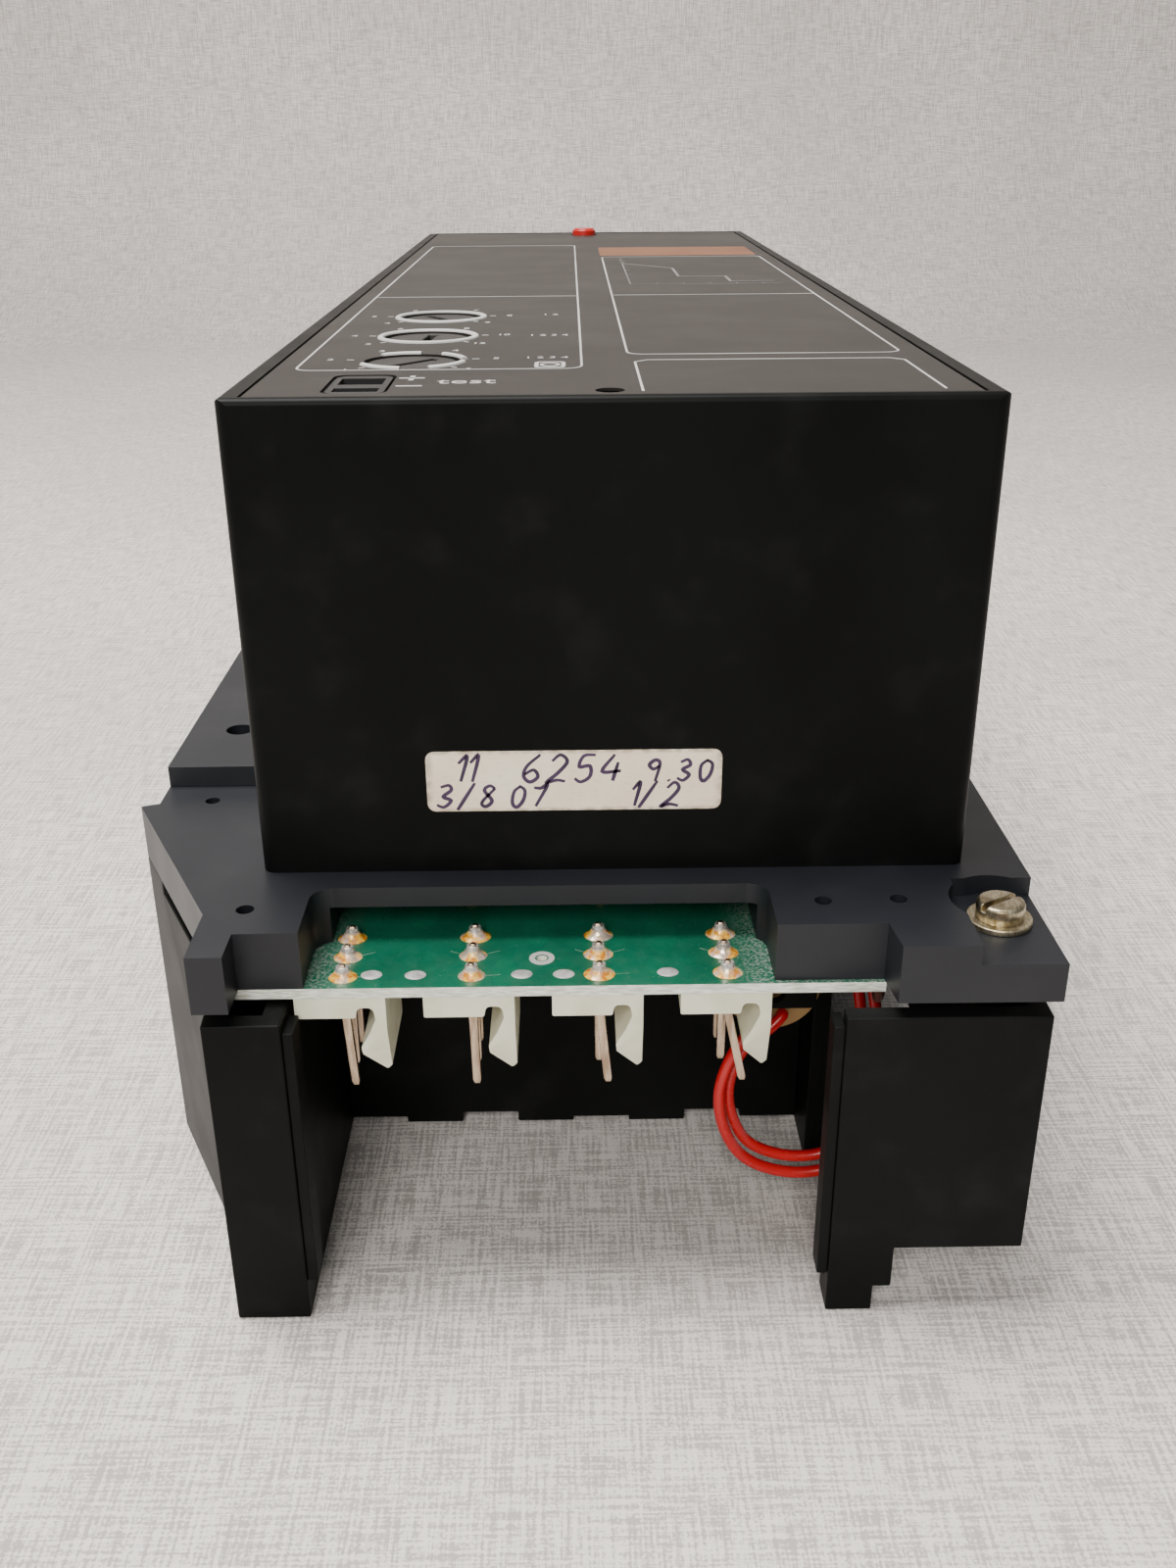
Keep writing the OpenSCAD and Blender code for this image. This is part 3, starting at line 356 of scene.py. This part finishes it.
def mesh_from(name, build):
    """A mesh that build(bm) fills, with its normals turned outward."""
    bm = bmesh.new()
    build(bm)
    bmesh.ops.recalc_face_normals(bm, faces=bm.faces)
    mesh = bpy.data.meshes.new(name)
    bm.to_mesh(mesh)
    bm.free()
    return mesh


def applied(mesh, set_up):
    """The mesh after the modifiers that set_up(object) adds."""
    holder = bpy.data.objects.new("holder", mesh)
    bpy.context.scene.collection.objects.link(holder)
    set_up(holder)
    graph = bpy.context.evaluated_depsgraph_get()
    result = bpy.data.meshes.new_from_object(holder.evaluated_get(graph))
    bpy.data.objects.remove(holder)
    return result


def bevelled(mesh, width_mm, segments=2, angle_deg=35):
    """The mesh with its sharp edges rounded."""

    def set_up(holder):
        edge = holder.modifiers.new("edges", "BEVEL")
        edge.width = width_mm * MM
        edge.segments = segments
        edge.limit_method = "ANGLE"
        edge.angle_limit = math.radians(angle_deg)
        flat = holder.modifiers.new("flat", "WEIGHTED_NORMAL")
        flat.keep_sharp = True
        flat.weight = 100

    for polygon in mesh.polygons:
        polygon.use_smooth = True
    return applied(mesh, set_up)


def softened(node, width_mm, body="housing"):
    """Stands for a CAD node with the same form and its edges rounded."""
    mesh = frame["nodes"][node].data.copy()
    bm = bmesh.new()
    bm.from_mesh(mesh)
    bmesh.ops.remove_doubles(bm, verts=bm.verts, dist=0.002 * MM)
    bmesh.ops.dissolve_limit(bm, angle_limit=math.radians(1.0), verts=bm.verts, edges=bm.edges)
    bm.to_mesh(mesh)
    bm.free()
    piece = add_piece(node + "_form", bevelled(mesh, width_mm), SLOT_OF[node], body)
    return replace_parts(piece, node)


def shortening(node):
    """Stands for a spring: the CAD node's form on its own mesh copy."""
    mesh = frame["nodes"][node].data.copy()
    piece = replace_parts(add_piece(node + "_form", mesh, SLOT_OF[node]), node)
    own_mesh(piece)


def skin(bm, rings, closed=False):
    """Joins rings of points one after the other, and closes both ends unless the last meets the first."""
    count = len(rings[0])
    for i in range(len(rings) if closed else len(rings) - 1):
        a, b = rings[i], rings[(i + 1) % len(rings)]
        for k in range(count):
            m = (k + 1) % count
            bm.faces.new((a[k], a[m], b[m], b[k]))
    if not closed:
        bm.faces.new(rings[0])
        bm.faces.new(rings[-1])


def prism(bm, outline, place, depth):
    """Closed prism: outline points run through place(point, 0) and place(point, depth)."""
    near = [bm.verts.new(place(p, 0.0)) for p in outline]
    far = [bm.verts.new(place(p, depth)) for p in outline]
    count = len(outline)
    bm.faces.new(near)
    bm.faces.new(far)
    for i in range(count):
        j = (i + 1) % count
        bm.faces.new((near[i], near[j], far[j], far[i]))


def lathe(bm, profile, centre, sides=32, squash=1.0):
    """Closed turned form round an upright axis; profile is (radius, height) from bottom to top, in millimetres."""
    rings = []
    for radius, height in profile:
        turn = [2 * math.pi * k / sides for k in range(sides)]
        rings.append([bm.verts.new(at(centre[0] + radius * math.cos(t), centre[1] + squash * radius * math.sin(t),
                                      centre[2] + height)) for t in turn])
    skin(bm, rings)


def rounded(points, radius, steps=5):
    """An outline with every corner rounded; radius is one number or one per corner."""
    out = []
    for i, corner in enumerate(points):
        r = radius[i] if isinstance(radius, (list, tuple)) else radius
        p, a, b = Vector(corner), Vector(points[i - 1]), Vector(points[(i + 1) % len(points)])
        to_a, to_b = (a - p), (b - p)
        half = to_a.angle(to_b) / 2
        cut = min(r / math.tan(half) if half > 1e-3 else 0, 0.48 * to_a.length, 0.48 * to_b.length)
        if r <= 0 or cut < 1e-4:
            out.append(p)
            continue
        start, end = p + to_a.normalized() * cut, p + to_b.normalized() * cut
        for k in range(steps + 1):
            t = k / steps
            out.append(start * (1 - t) ** 2 + p * 2 * t * (1 - t) + end * t * t)
    return out


def ribbon(bm, points, width, place, closed=False, lift=INK):
    """A flat drawn line with mitred corners; width is one number or one per point, place(x, y, h) sets it down."""
    path = [Vector(p) for p in points]
    count = len(path)
    rows = []
    for i, p in enumerate(path):
        before = path[i - 1] if closed or i else p
        after = path[(i + 1) % count] if closed or i < count - 1 else p
        d_in, d_out = (p - before), (after - p)
        d_in = d_in.normalized() if d_in.length > 1e-9 else d_out.normalized()
        d_out = d_out.normalized() if d_out.length > 1e-9 else d_in
        along = (d_in + d_out).normalized() if (d_in + d_out).length > 1e-6 else d_in
        side = Vector((-along.y, along.x))
        reach = (width[i] if isinstance(width, list) else width) / 2 / max(0.4, along.dot(d_out))
        left, right = p + side * reach, p - side * reach
        rows.append([bm.verts.new(place(q.x, q.y, h))
                     for q, h in ((left, 0), (right, 0), (right, lift), (left, lift))])
    skin(bm, rows, closed)


def arc(cx, cy, radius, start_deg, end_deg, steps=24):
    """Points along an arc."""
    turn = [math.radians(start_deg + (end_deg - start_deg) * k / steps) for k in range(steps + 1)]
    return [(cx + radius * math.cos(t), cy + radius * math.sin(t)) for t in turn]


def smooth_path(points, steps=5):
    """A Catmull-Rom line through the points."""
    pts = [Vector(p) for p in points]
    ext = [pts[0] * 2 - pts[1]] + pts + [pts[-1] * 2 - pts[-2]]
    out = []
    for i in range(1, len(ext) - 2):
        a, b, c, d = ext[i - 1:i + 3]
        for k in range(steps):
            t = k / steps
            out.append(0.5 * (2 * b + (c - a) * t + (2 * a - 5 * b + 4 * c - d) * t * t
                              + (3 * b - a - 3 * c + d) * t ** 3))
    return out + [pts[-1]]


def on_label(x, y, h):
    """A place on top of the face label."""
    return at(x, y, LABEL_TOP + h)


def on_board(x, y, h):
    """A place on top of the connector board."""
    return at(x, y, BOARD_HIGH.z + h)


def on_sticker(x, z, h):
    """A place in front of the paper sticker."""
    return at(x, STICKER_LOW.y - h, z)


# ---------------------------------------------------------------------------
# Camera, light and stage
# ---------------------------------------------------------------------------


def set_camera():
    """The view from low in front of the connector bay, looking down at about 24 degrees."""
    data = bpy.data.cameras.new("view")
    data.sensor_width = 36.0
    data.lens = 33.61
    data.clip_start = 0.01
    camera = bpy.data.objects.new("view", data)
    bpy.context.scene.collection.objects.link(camera)
    yaw, pitch, roll = 0.0098, 0.4214, -0.0073
    ahead = Vector((math.sin(yaw) * math.cos(pitch), math.cos(yaw) * math.cos(pitch), -math.sin(pitch)))
    right = Vector((math.cos(yaw), -math.sin(yaw), 0.0))
    up = right.cross(ahead)
    right, up = math.cos(roll) * right + math.sin(roll) * up, math.cos(roll) * up - math.sin(roll) * right
    turn = Matrix((right, up, -ahead)).transposed().to_4x4()
    camera.matrix_world = Matrix.Translation(at(-5.7, -194.8, 101.3)) @ turn
    bpy.context.scene.camera = camera


def add_light(name, where, target, size, power, tint=(1, 1, 1)):
    data = bpy.data.lights.new(name, "AREA")
    data.shape = "DISK"
    data.size = size
    data.energy = power
    data.color = tint
    light = bpy.data.objects.new(name, data)
    bpy.context.scene.collection.objects.link(light)
    light.location = where
    light.rotation_euler = (Vector(target) - Vector(where)).to_track_quat("-Z", "Y").to_euler()


def set_stage():
    """Pale floor that curves up into a wall far behind, and soft studio light from above."""
    wall_y, cove, width, depth, tall = 1.15, 0.25, 3.2, 3.2, 1.4
    profile = [(-depth, 0.0), (wall_y - cove, 0.0)]
    profile += [(wall_y - cove + cove * math.sin(t), cove - cove * math.cos(t))
                for t in (math.pi / 2 * k / 10 for k in range(1, 11))]
    profile.append((wall_y, tall))

    def build(bm):
        rows = [[bm.verts.new((x, y, z)) for x in (-width, width)] for y, z in profile]
        for a, b in zip(rows, rows[1:]):
            bm.faces.new((a[0], a[1], b[1], b[0]))

    mesh = mesh_from("table", build)
    mesh.materials.append(pale_floor("table", (0.74, 0.69, 0.645), (0.39, 0.36, 0.335)))
    for polygon in mesh.polygons:
        polygon.use_smooth = True
    table = bpy.data.objects.new("table", mesh)
    bpy.context.scene.collection.objects.link(table)
    world = bpy.data.worlds.new("studio")
    bpy.context.scene.world = world
    world.use_nodes = True
    world.node_tree.nodes["Background"].inputs["Color"].default_value = (0.93, 0.95, 1.0, 1)
    world.node_tree.nodes["Background"].inputs["Strength"].default_value = 0.26
    add_light("ceiling", (-0.28, 0.0, 1.25), (0, -0.05, 0), 0.8, 35, (1.0, 0.98, 0.955))
    add_light("front_box", (-0.25, -1.5, 1.0), (0, 0, 0.08), 0.9, 24, (1.0, 0.98, 0.955))


# ---------------------------------------------------------------------------
# Cover, label and sticker
# ---------------------------------------------------------------------------

def numerals(bm, text, x, y, size):
    """Plain numerals set on the label, centred at x, y."""
    curve = bpy.data.curves.new("numerals", "FONT")
    curve.body = text
    curve.size = size * MM
    curve.align_x = "CENTER"
    curve.align_y = "CENTER"
    curve.extrude = INK / 2 * MM
    curve.resolution_u = 3
    holder = bpy.data.objects.new("numerals", curve)
    bpy.context.scene.collection.objects.link(holder)
    graph = bpy.context.evaluated_depsgraph_get()
    mesh = bpy.data.meshes.new_from_object(holder.evaluated_get(graph))
    mesh.transform(Matrix.Translation(on_label(x, y, INK / 2)))
    bm.from_mesh(mesh)
    bpy.data.objects.remove(holder)


def frame_path(x0, y0, x1, y1, radius=3.0):
    return rounded([(x0, y0), (x1, y0), (x1, y1), (x0, y1)], radius, 6)


def ridge(bm, points, width=1.05, rise=0.38, closed=False):
    """A low raised bead with a rounded top, along a line on the label."""
    section = [(-0.5, 0.0), (-0.42, 0.62), (-0.2, 0.95), (0.2, 0.95), (0.42, 0.62), (0.5, 0.0)]
    path = [Vector(p) for p in points]
    count = len(path)
    rows = []
    for i, p in enumerate(path):
        before = path[i - 1] if closed or i else p
        after = path[(i + 1) % count] if closed or i < count - 1 else p
        along = (after - before).normalized()
        side = Vector((-along.y, along.x))
        rows.append([bm.verts.new(on_label(*(p + side * a * width), h * rise)) for a, h in section])
    skin(bm, rows, closed)


def scale_marks(bm, centre, labels, radius=11.2):
    """Tick marks and numerals round a dial."""
    for k, text in enumerate(labels):
        turn = math.radians(225 - 270 * k / (len(labels) - 1))
        c, s = math.cos(turn), math.sin(turn)
        inner = (centre.x + 9.1 * c, centre.y + 9.1 * s)
        outer = (centre.x + 10.2 * c, centre.y + 10.2 * s)
        ribbon(bm, [inner, outer], 0.35, on_label)
        numerals(bm, text, centre.x + (radius + 1.6) * c, centre.y + radius * s + 1.0 * s, 2.3)


def build_prints():
    """White frames, rings, scales and the trip chart on the label, as thin raised ink."""

    def white(bm):
        line = 0.34
        ribbon(bm, frame_path(-46, 25, -4, 270), line, on_label, closed=True)
        ribbon(bm, [(-46, 126), (-4, 126)], line, on_label)
        ribbon(bm, [(4, 4.5), (4, 31), (6, 33), (42.5, 33), (44.5, 31), (44.5, 4.5)], line, on_label)
        ribbon(bm, frame_path(3.2, 39, 45.7, 226), line, on_label, closed=True)
        ribbon(bm, [(3.2, 127), (45.7, 127)], line, on_label)

    def faint(bm):
        chart = [(8, 214), (8, 205), (20, 190), (20, 168), (31, 168), (31, 156), (41, 156)]
        ribbon(bm, chart, 0.6, on_label)
        ribbon(bm, [(8, 150), (8, 220)], 0.3, on_label)
        ribbon(bm, [(8, 150), (42, 150)], 0.3, on_label)
        for k in range(1, 6):
            ribbon(bm, [(8, 150 + 12 * k), (9.2, 150 + 12 * k)], 0.3, on_label)
            ribbon(bm, [(8 + 6 * k, 150), (8 + 6 * k, 152)], 0.3, on_label)

    def rings(bm):
        first, second, third = DIAL_CENTRES
        for start, end in ((8, 58), (85, 131), (207, 262), (293, 349)):
            ridge(bm, arc(first.x, first.y, 7.9, start, end))
        for ring in (second, third):
            ridge(bm, arc(ring.x, ring.y, 8.0, 0, 360, 72)[:-1], closed=True)
        scale_marks(bm, first, ("1", "2", "3", "4", "5", "6"))
        scale_marks(bm, second, ("2", "4", "6", "8", "10", "12"))
        scale_marks(bm, third, ("4", "5", "6", "7", "8", "9"))
        for y, text in ((36.4, "1 2 3 4"), (62.9, "1 2 3 4"), (92.9, "1 2")):
            numerals(bm, text, -9.3, y, 2.4)
        ribbon(bm, frame_path(-10.7, 26.4, -6.7, 31.6, 0.8), 0.6, on_label, closed=True)
        ribbon(bm, [(-8.7 + 1.3 * math.cos(t), 29.0 + 1.4 * math.sin(t)) for t in
                    (2 * math.pi * k / 24 for k in range(24))], 0.5, on_label, closed=True)
        ribbon(bm, [(-29.8, 17.2), (-26.2, 17.2)], 0.7, on_label)
        ribbon(bm, [(-28, 15.2), (-28, 19.2)], 0.7, on_label)
        ribbon(bm, [(-29.6, 10.3), (-26.0, 10.3)], 0.7, on_label)
        numerals(bm, "test", -20.1, 13.7, 5.4)

    def orange(bm):
        prism(bm, frame_path(2.8, 230, 45.6, 260, 0.8), lambda p, h: on_label(p.x, p.y, h), INK)

    add_piece("label_print", mesh_from("label_print", white), "ink_white")
    add_piece("label_scales", mesh_from("label_scales", rings), "ink_white")
    add_piece("label_chart", mesh_from("label_chart", faint), "ink_faint")
    add_piece("label_bar", mesh_from("label_bar", orange), "ink_orange")


STROKES = {
    "0": [[(0.30, 1.0), (0.06, 0.7), (0.08, 0.2), (0.32, 0.0), (0.54, 0.3), (0.52, 0.8), (0.28, 1.0)]],
    "1": [[(0.10, 0.72), (0.36, 1.0), (0.28, 0.0)]],
    "2": [[(0.05, 0.75), (0.30, 1.0), (0.55, 0.76), (0.30, 0.36), (0.0, 0.0), (0.30, 0.06), (0.62, 0.0)]],
    "3": [[(0.05, 0.92), (0.35, 1.0), (0.50, 0.78), (0.20, 0.52), (0.54, 0.30), (0.30, 0.0), (0.0, 0.12)]],
    "4": [[(0.34, 1.0), (0.02, 0.36), (0.62, 0.38)], [(0.46, 0.72), (0.40, 0.0)]],
    "5": [[(0.58, 1.0), (0.16, 0.94), (0.10, 0.55), (0.45, 0.55), (0.50, 0.20), (0.20, 0.0), (0.0, 0.10)]],
    "6": [[(0.52, 1.0), (0.14, 0.62), (0.05, 0.20), (0.30, 0.0), (0.52, 0.22), (0.34, 0.46), (0.08, 0.30)]],
    "7": [[(0.0, 0.94), (0.30, 0.92), (0.58, 1.0), (0.20, 0.0)]],
    "8": [[(0.50, 0.86), (0.25, 1.0), (0.08, 0.78), (0.46, 0.30), (0.25, 0.0), (0.02, 0.25), (0.50, 0.86)]],
    "9": [[(0.50, 0.75), (0.25, 0.55), (0.05, 0.78), (0.30, 1.0), (0.50, 0.80), (0.42, 0.0)]],
    "/": [[(0.55, 1.1), (0.0, -0.1)]],
    ".": [[(0.10, 0.06), (0.18, 0.0)]],
}


def build_sticker():
    """Cream paper with round corners, and plain digits in pen."""
    low, high = STICKER_LOW, STICKER_HIGH
    centre_x, centre_z = (low.x + high.x) / 2, (low.z + high.z) / 2
    width, height = high.x - low.x, high.z - low.z

    def sheet(bm):
        outline = rounded([(low.x, low.z), (high.x, low.z), (high.x, high.z), (low.x, high.z)], 1.5, 8)
        prism(bm, outline, lambda p, h: at(p.x, high.y - h, p.y), high.y - low.y)

    piece = add_piece("sticker_paper", bevelled(mesh_from("sticker", sheet), 0.03, 1), "sticker_paper")
    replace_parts(piece, "id_sticker")
    rng = random.Random(7)

    def write(bm, text, x, z, size):
        for mark in text:
            for stroke in STROKES.get(mark, []):
                points = [(x + (px + rng.uniform(-0.03, 0.03) + 0.18 * pz) * size,
                           z + (pz + rng.uniform(-0.03, 0.03)) * size) for px, pz in stroke]
                line = smooth_path(points, 5)
                broad = [0.40 + 0.18 * math.sin(math.pi * k / len(line)) for k in range(len(line))]
                ribbon(bm, line, broad, on_sticker, lift=0.02)
            x += size * (0.45 if mark in " .1" else 0.92)

    def pen(bm):
        upper, lower = high.z - 0.06 * height - 4.1, low.z + 0.07 * height
        write(bm, "11", low.x + 0.09 * width, upper, 4.0)
        write(bm, "6254", low.x + 0.32 * width, upper - 0.2, 4.2)
        write(bm, "9.30", low.x + 0.74 * width, upper - 0.3, 3.3)
        write(bm, "3/8", low.x + 0.03 * width, lower, 3.5)
        write(bm, "07", low.x + 0.28 * width, lower, 3.3)
        write(bm, "1/2", low.x + 0.68 * width, lower - 0.1, 3.7)

    add_piece("sticker_digits", mesh_from("sticker_digits", pen), "ink_pen")


# ---------------------------------------------------------------------------
# Connector board and headers
# ---------------------------------------------------------------------------


def build_headers():
    """Four friction-lock headers: base, rounded notch and a hooked lock, cut back at a slant on its lower front."""
    top = BOARD_LOW.z
    outline = rounded(
        [(-6.8, 0), (-6.8, -3.6), (1.8, -3.6), (2.1, -1.9), (4.3, -1.9), (4.6, -3.8), (3.6, -6.2),
         (2.3, -8.5), (2.4, -9.9), (5.5, -14.0), (6.2, -13.3), (6.2, 0)],
        [0.1, 0.3, 0.4, 0.9, 1.0, 0.8, 1.5, 0.6, 0.6, 0.35, 0.35, 0.1])
    length = HOUSING_HIGH.y - HOUSING_LOW.y
    for i, x in enumerate(HEADER_X):

        def block(bm, x=x):
            prism(bm, outline, lambda p, h: at(x + p.x, HOUSING_LOW.y + h, top + p.y), length)
            corners = [at(x + 6.2, HOUSING_LOW.y, top - 5.6), at(x + 2.3, HOUSING_LOW.y, top - 9.0),
                       at(x + 5.5, HOUSING_LOW.y + 2.6, top - 14.0)]
            facing = (corners[1] - corners[0]).cross(corners[2] - corners[0]).normalized()
            if facing.y > 0:
                facing = -facing
            cut = bmesh.ops.bisect_plane(bm, geom=bm.verts[:] + bm.edges[:] + bm.faces[:], plane_co=corners[0],
                                         plane_no=facing, clear_outer=True)
            bmesh.ops.contextual_create(bm, geom=[e for e in cut["geom_cut"] if isinstance(e, bmesh.types.BMEdge)])

        mesh = mesh_from(f"header_{i + 1}", block)
        piece = add_piece(f"header_housing_{i + 1}", bevelled(mesh, 0.22, 2, 50), "header_ivory")
        if i == 0:
            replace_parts(piece, "header_housings")


def add_pin(bm, x, y, lean_deg):
    """Square pin with tapered ends, bent sideways just below its housing if it leans."""
    half = PIN_T / 2
    bend = BOARD_LOW.z - 3.8
    levels = [(PIN_HIGH.z, 0.55), (PIN_HIGH.z - 0.6, 1.0), (bend, 1.0), (bend - 1.0, 1.0),
              (PIN_LOW.z + 0.7, 1.0), (PIN_LOW.z, 0.7)]
    slope = math.tan(math.radians(lean_deg))
    rings = []
    for z, share in levels:
        shift = max(0.0, bend - z) * slope
        corners = rounded([(-half * share, -half * share), (half * share, -half * share),
                           (half * share, half * share), (-half * share, half * share)], 0.15, 2)
        rings.append([bm.verts.new(at(x + shift + c.x, y + c.y, z)) for c in corners])
    skin(bm, rings)


def build_pins():
    def build(bm):
        for i, x in enumerate(HEADER_X):
            for k, y in enumerate(PIN_Y):
                add_pin(bm, x, y, FRONT_LEAN[i] if k == 0 else 0.0)

    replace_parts(add_piece("header_pin_set", mesh_from("pins", build), "pin_tin"), "header_pins")


def build_board_details():
    """Solder cones with hollow flanks, tinned pads, the ringed hole and raised copper tracks."""
    rng = random.Random(3)
    top = BOARD_HIGH.z

    def cones(bm):
        for x in HEADER_X:
            for y in PIN_Y:
                swell = rng.uniform(0.92, 1.08)
                profile = [(2.15 * swell, 0.0), (2.0 * swell, 0.12), (1.62, 0.36), (1.28, 0.72), (1.05, 1.15),
                           (0.92, 1.6), (0.86, 1.78)]
                lathe(bm, profile, (x + rng.uniform(-0.08, 0.08), y, top), 28, 0.86)
        for x in (-22, -2):
            lathe(bm, [(1.5, 0.0), (1.35, 0.12), (0.95, 0.5), (0.65, 1.1), (0.3, 1.4)], (x, 7, top), 24)

    def pads(bm):
        for x, y in ((-35.1, -14.6), (-28.8, -14.8), (-13.6, -14.9), (-7.6, -15.0), (7.3, -14.8)):
            lathe(bm, [(1.55, 0.0), (1.5, 0.05), (1.1, 0.16), (0.5, 0.2)], (x, y, top), 28, 0.8)

    def ring(bm):
        inner, outer = 1.0, 1.85
        middle = arc(-10.8, -10.6, (inner + outer) / 2, 0, 360, 32)[:-1]
        ribbon(bm, middle, outer - inner, on_board, closed=True, lift=0.06)

    def tracks(bm):
        for x in HEADER_X:
            for dx, y1 in ((-3.0, 18.0), (3.4, 12.0)):
                ribbon(bm, [(x, PIN_Y[1]), (x + dx, PIN_Y[1] + 1.6), (x + dx, y1)], 0.9, on_board, lift=0.03)
            ribbon(bm, [(x, PIN_Y[0]), (x + 4.2, PIN_Y[0] + 0.4)], 0.5, on_board, lift=0.03)

    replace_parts(add_piece("solder_cones", mesh_from("cones", cones), "solder"), "solder_joints")
    add_piece("tinned_pads", mesh_from("pads", pads), "pad_tin")
    add_piece("hole_ring", mesh_from("ring", ring), "ink_white")
    add_piece("board_tracks", mesh_from("tracks", tracks), "board_green")


# ---------------------------------------------------------------------------
# Screw, wires and small parts
# ---------------------------------------------------------------------------


def build_clamp_screw():
    """Cheese head with a worn slot, and its thick washer with rounded rims."""
    x = (WASHER_LOW.x + WASHER_HIGH.x) / 2
    y = (WASHER_LOW.y + WASHER_HIGH.y) / 2
    low, high = local("clamp_screw")
    seat = WASHER_HIGH.z
    rise = high.z - seat
    head = [(2.0, low.z - seat), (2.0, 0.0), (3.35, 0.0), (3.45, 0.12), (3.45, rise - 0.55), (3.3, rise - 0.22),
            (2.95, rise - 0.05), (2.4, rise)]
    slot_turn = Matrix.Rotation(math.radians(30), 4, "Z")

    def cutter(bm):
        bmesh.ops.create_cube(bm, size=1.0)
        bmesh.ops.scale(bm, vec=(12 * MM, 1.0 * MM, 2.6 * MM), verts=bm.verts)
        bmesh.ops.transform(bm, matrix=slot_turn, verts=bm.verts)
        bmesh.ops.translate(bm, vec=at(x, y, high.z + 0.2), verts=bm.verts)

    knife = bpy.data.objects.new("slot_knife", mesh_from("slot_knife", cutter))
    bpy.context.scene.collection.objects.link(knife)

    def cut(holder):
        slot = holder.modifiers.new("slot", "BOOLEAN")
        slot.operation = "DIFFERENCE"
        slot.object = knife
        slot.solver = "EXACT"
        edge = holder.modifiers.new("edges", "BEVEL")
        edge.width = 0.1 * MM
        edge.segments = 2
        edge.limit_method = "ANGLE"
        edge.angle_limit = math.radians(50)

    mesh = applied(mesh_from("screw", lambda bm: lathe(bm, head, (x, y, seat), 56)), cut)
    bpy.data.objects.remove(knife)
    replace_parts(add_piece("clamp_screw_form", mesh, "screw_zinc", sharp_deg=50), "clamp_screw")
    softened("clamp_washer", 0.15)


RED_ROUTE_1 = [(24.6, 5.4, -29), (24.6, 4.2, -29), (22.6, 2, -29.6), (20, 0.6, -32), (18, 0, -36), (17, 0, -41),
               (17.6, 0, -46.5), (20, 0, -52), (24, 0, -55.4), (30, 0, -57), (36, 0, -56), (41, 0, -52),
               (43, 1, -44), (43, 4, -34), (42, 8, -24), (41, 11, -14), (40, 13, -4), (39, 15, 3),
               (38.4, 18, 7), (38, 21, 8), (38, 26, 8)]
RED_ROUTE_2 = [(27.2, 5.4, -29.4), (27.2, 4.6, -29.4), (25, 3.6, -31.2), (21.6, 2.7, -33.4), (19.6, 2.2, -37),
               (18.7, 2, -41.4), (19.2, 2, -46), (21.3, 2, -51), (24.8, 2, -53.8), (30, 2, -55.2), (35.4, 2, -54.4),
               (39.6, 2, -50.6), (40.9, 3.6, -44), (40.9, 6.4, -34), (39.9, 10.4, -24), (39.4, 13.4, -14),
               (39, 14.6, -8), (38, 15.6, -2), (36.8, 16.6, 3), (36.2, 19, 7), (35.8, 22, 8), (35.8, 26, 8)]
BROWN_ROUTE = [(36, -13, -11.5), (37.6, -12.6, -12.4), (38.8, -11, -15), (39.4, -8, -18), (40.4, -3, -20.4),
               (42, 3, -20.8), (43.6, 9, -19.5), (43.4, 13, -16), (42, 16, -11), (41.4, 16.8, -3), (41, 17.4, 3),
               (40.6, 20, 7), (40.4, 23, 8), (40.4, 26, 8)]


def wire(bm, route, diameter, sides=16):
    """Round insulation swept along a smooth line through the route's points."""
    line = smooth_path(route, 6)
    side = Vector((0, 0, 1))
    rings = []
    for i, p in enumerate(line):
        ahead = (line[min(i + 1, len(line) - 1)] - line[max(i - 1, 0)]).normalized()
        side = (side - ahead * side.dot(ahead)).normalized()
        across = ahead.cross(side)
        turn = [2 * math.pi * k / sides for k in range(sides)]
        rings.append([bm.verts.new(at(*(p + diameter / 2 * (math.cos(t) * side + math.sin(t) * across))))
                      for t in turn])
    skin(bm, rings)


def build_wires():
    red_1 = add_piece("red_wire_1", mesh_from("red_1", lambda bm: wire(bm, RED_ROUTE_1, RED_WIRE_D)), "wire_red")
    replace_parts(red_1, "red_wires")
    add_piece("red_wire_2", mesh_from("red_2", lambda bm: wire(bm, RED_ROUTE_2, RED_WIRE_D)), "wire_red")
    brown = add_piece("brown_wire_form", mesh_from("brown", lambda bm: wire(bm, BROWN_ROUTE, BROWN_WIRE_D)),
                      "wire_brown")
    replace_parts(brown, "brown_wire")


# ---------------------------------------------------------------------------
# The scene
# ---------------------------------------------------------------------------

set_camera()
set_stage()
for node_name, thing in frame["nodes"].items():
    finish = MATERIALS[SLOT_OF[node_name]]
    if not thing.material_slots:
        thing.data.materials.append(finish)
    for holder_slot in thing.material_slots:
        holder_slot.link = "OBJECT"
        holder_slot.material = finish
for node_name, rounding in (("front_plate", 0.35), ("base_deck", 0.3), ("left_cheek", 0.3), ("right_cheek", 0.3),
                            ("bay_wall", 0.25), ("rear_bridge", 0.25), ("guide_strips", 0.2)):
    softened(node_name, rounding)
for number in (1, 2, 3):
    softened(f"dial_{number}", 0.2, f"dial_{number}")
softened("reset_button", 0.3, "button")
shortening("button_spring")
shortening("plunger_spring")
build_prints()
build_sticker()
build_headers()
build_pins()
build_board_details()
build_clamp_screw()
build_wires()
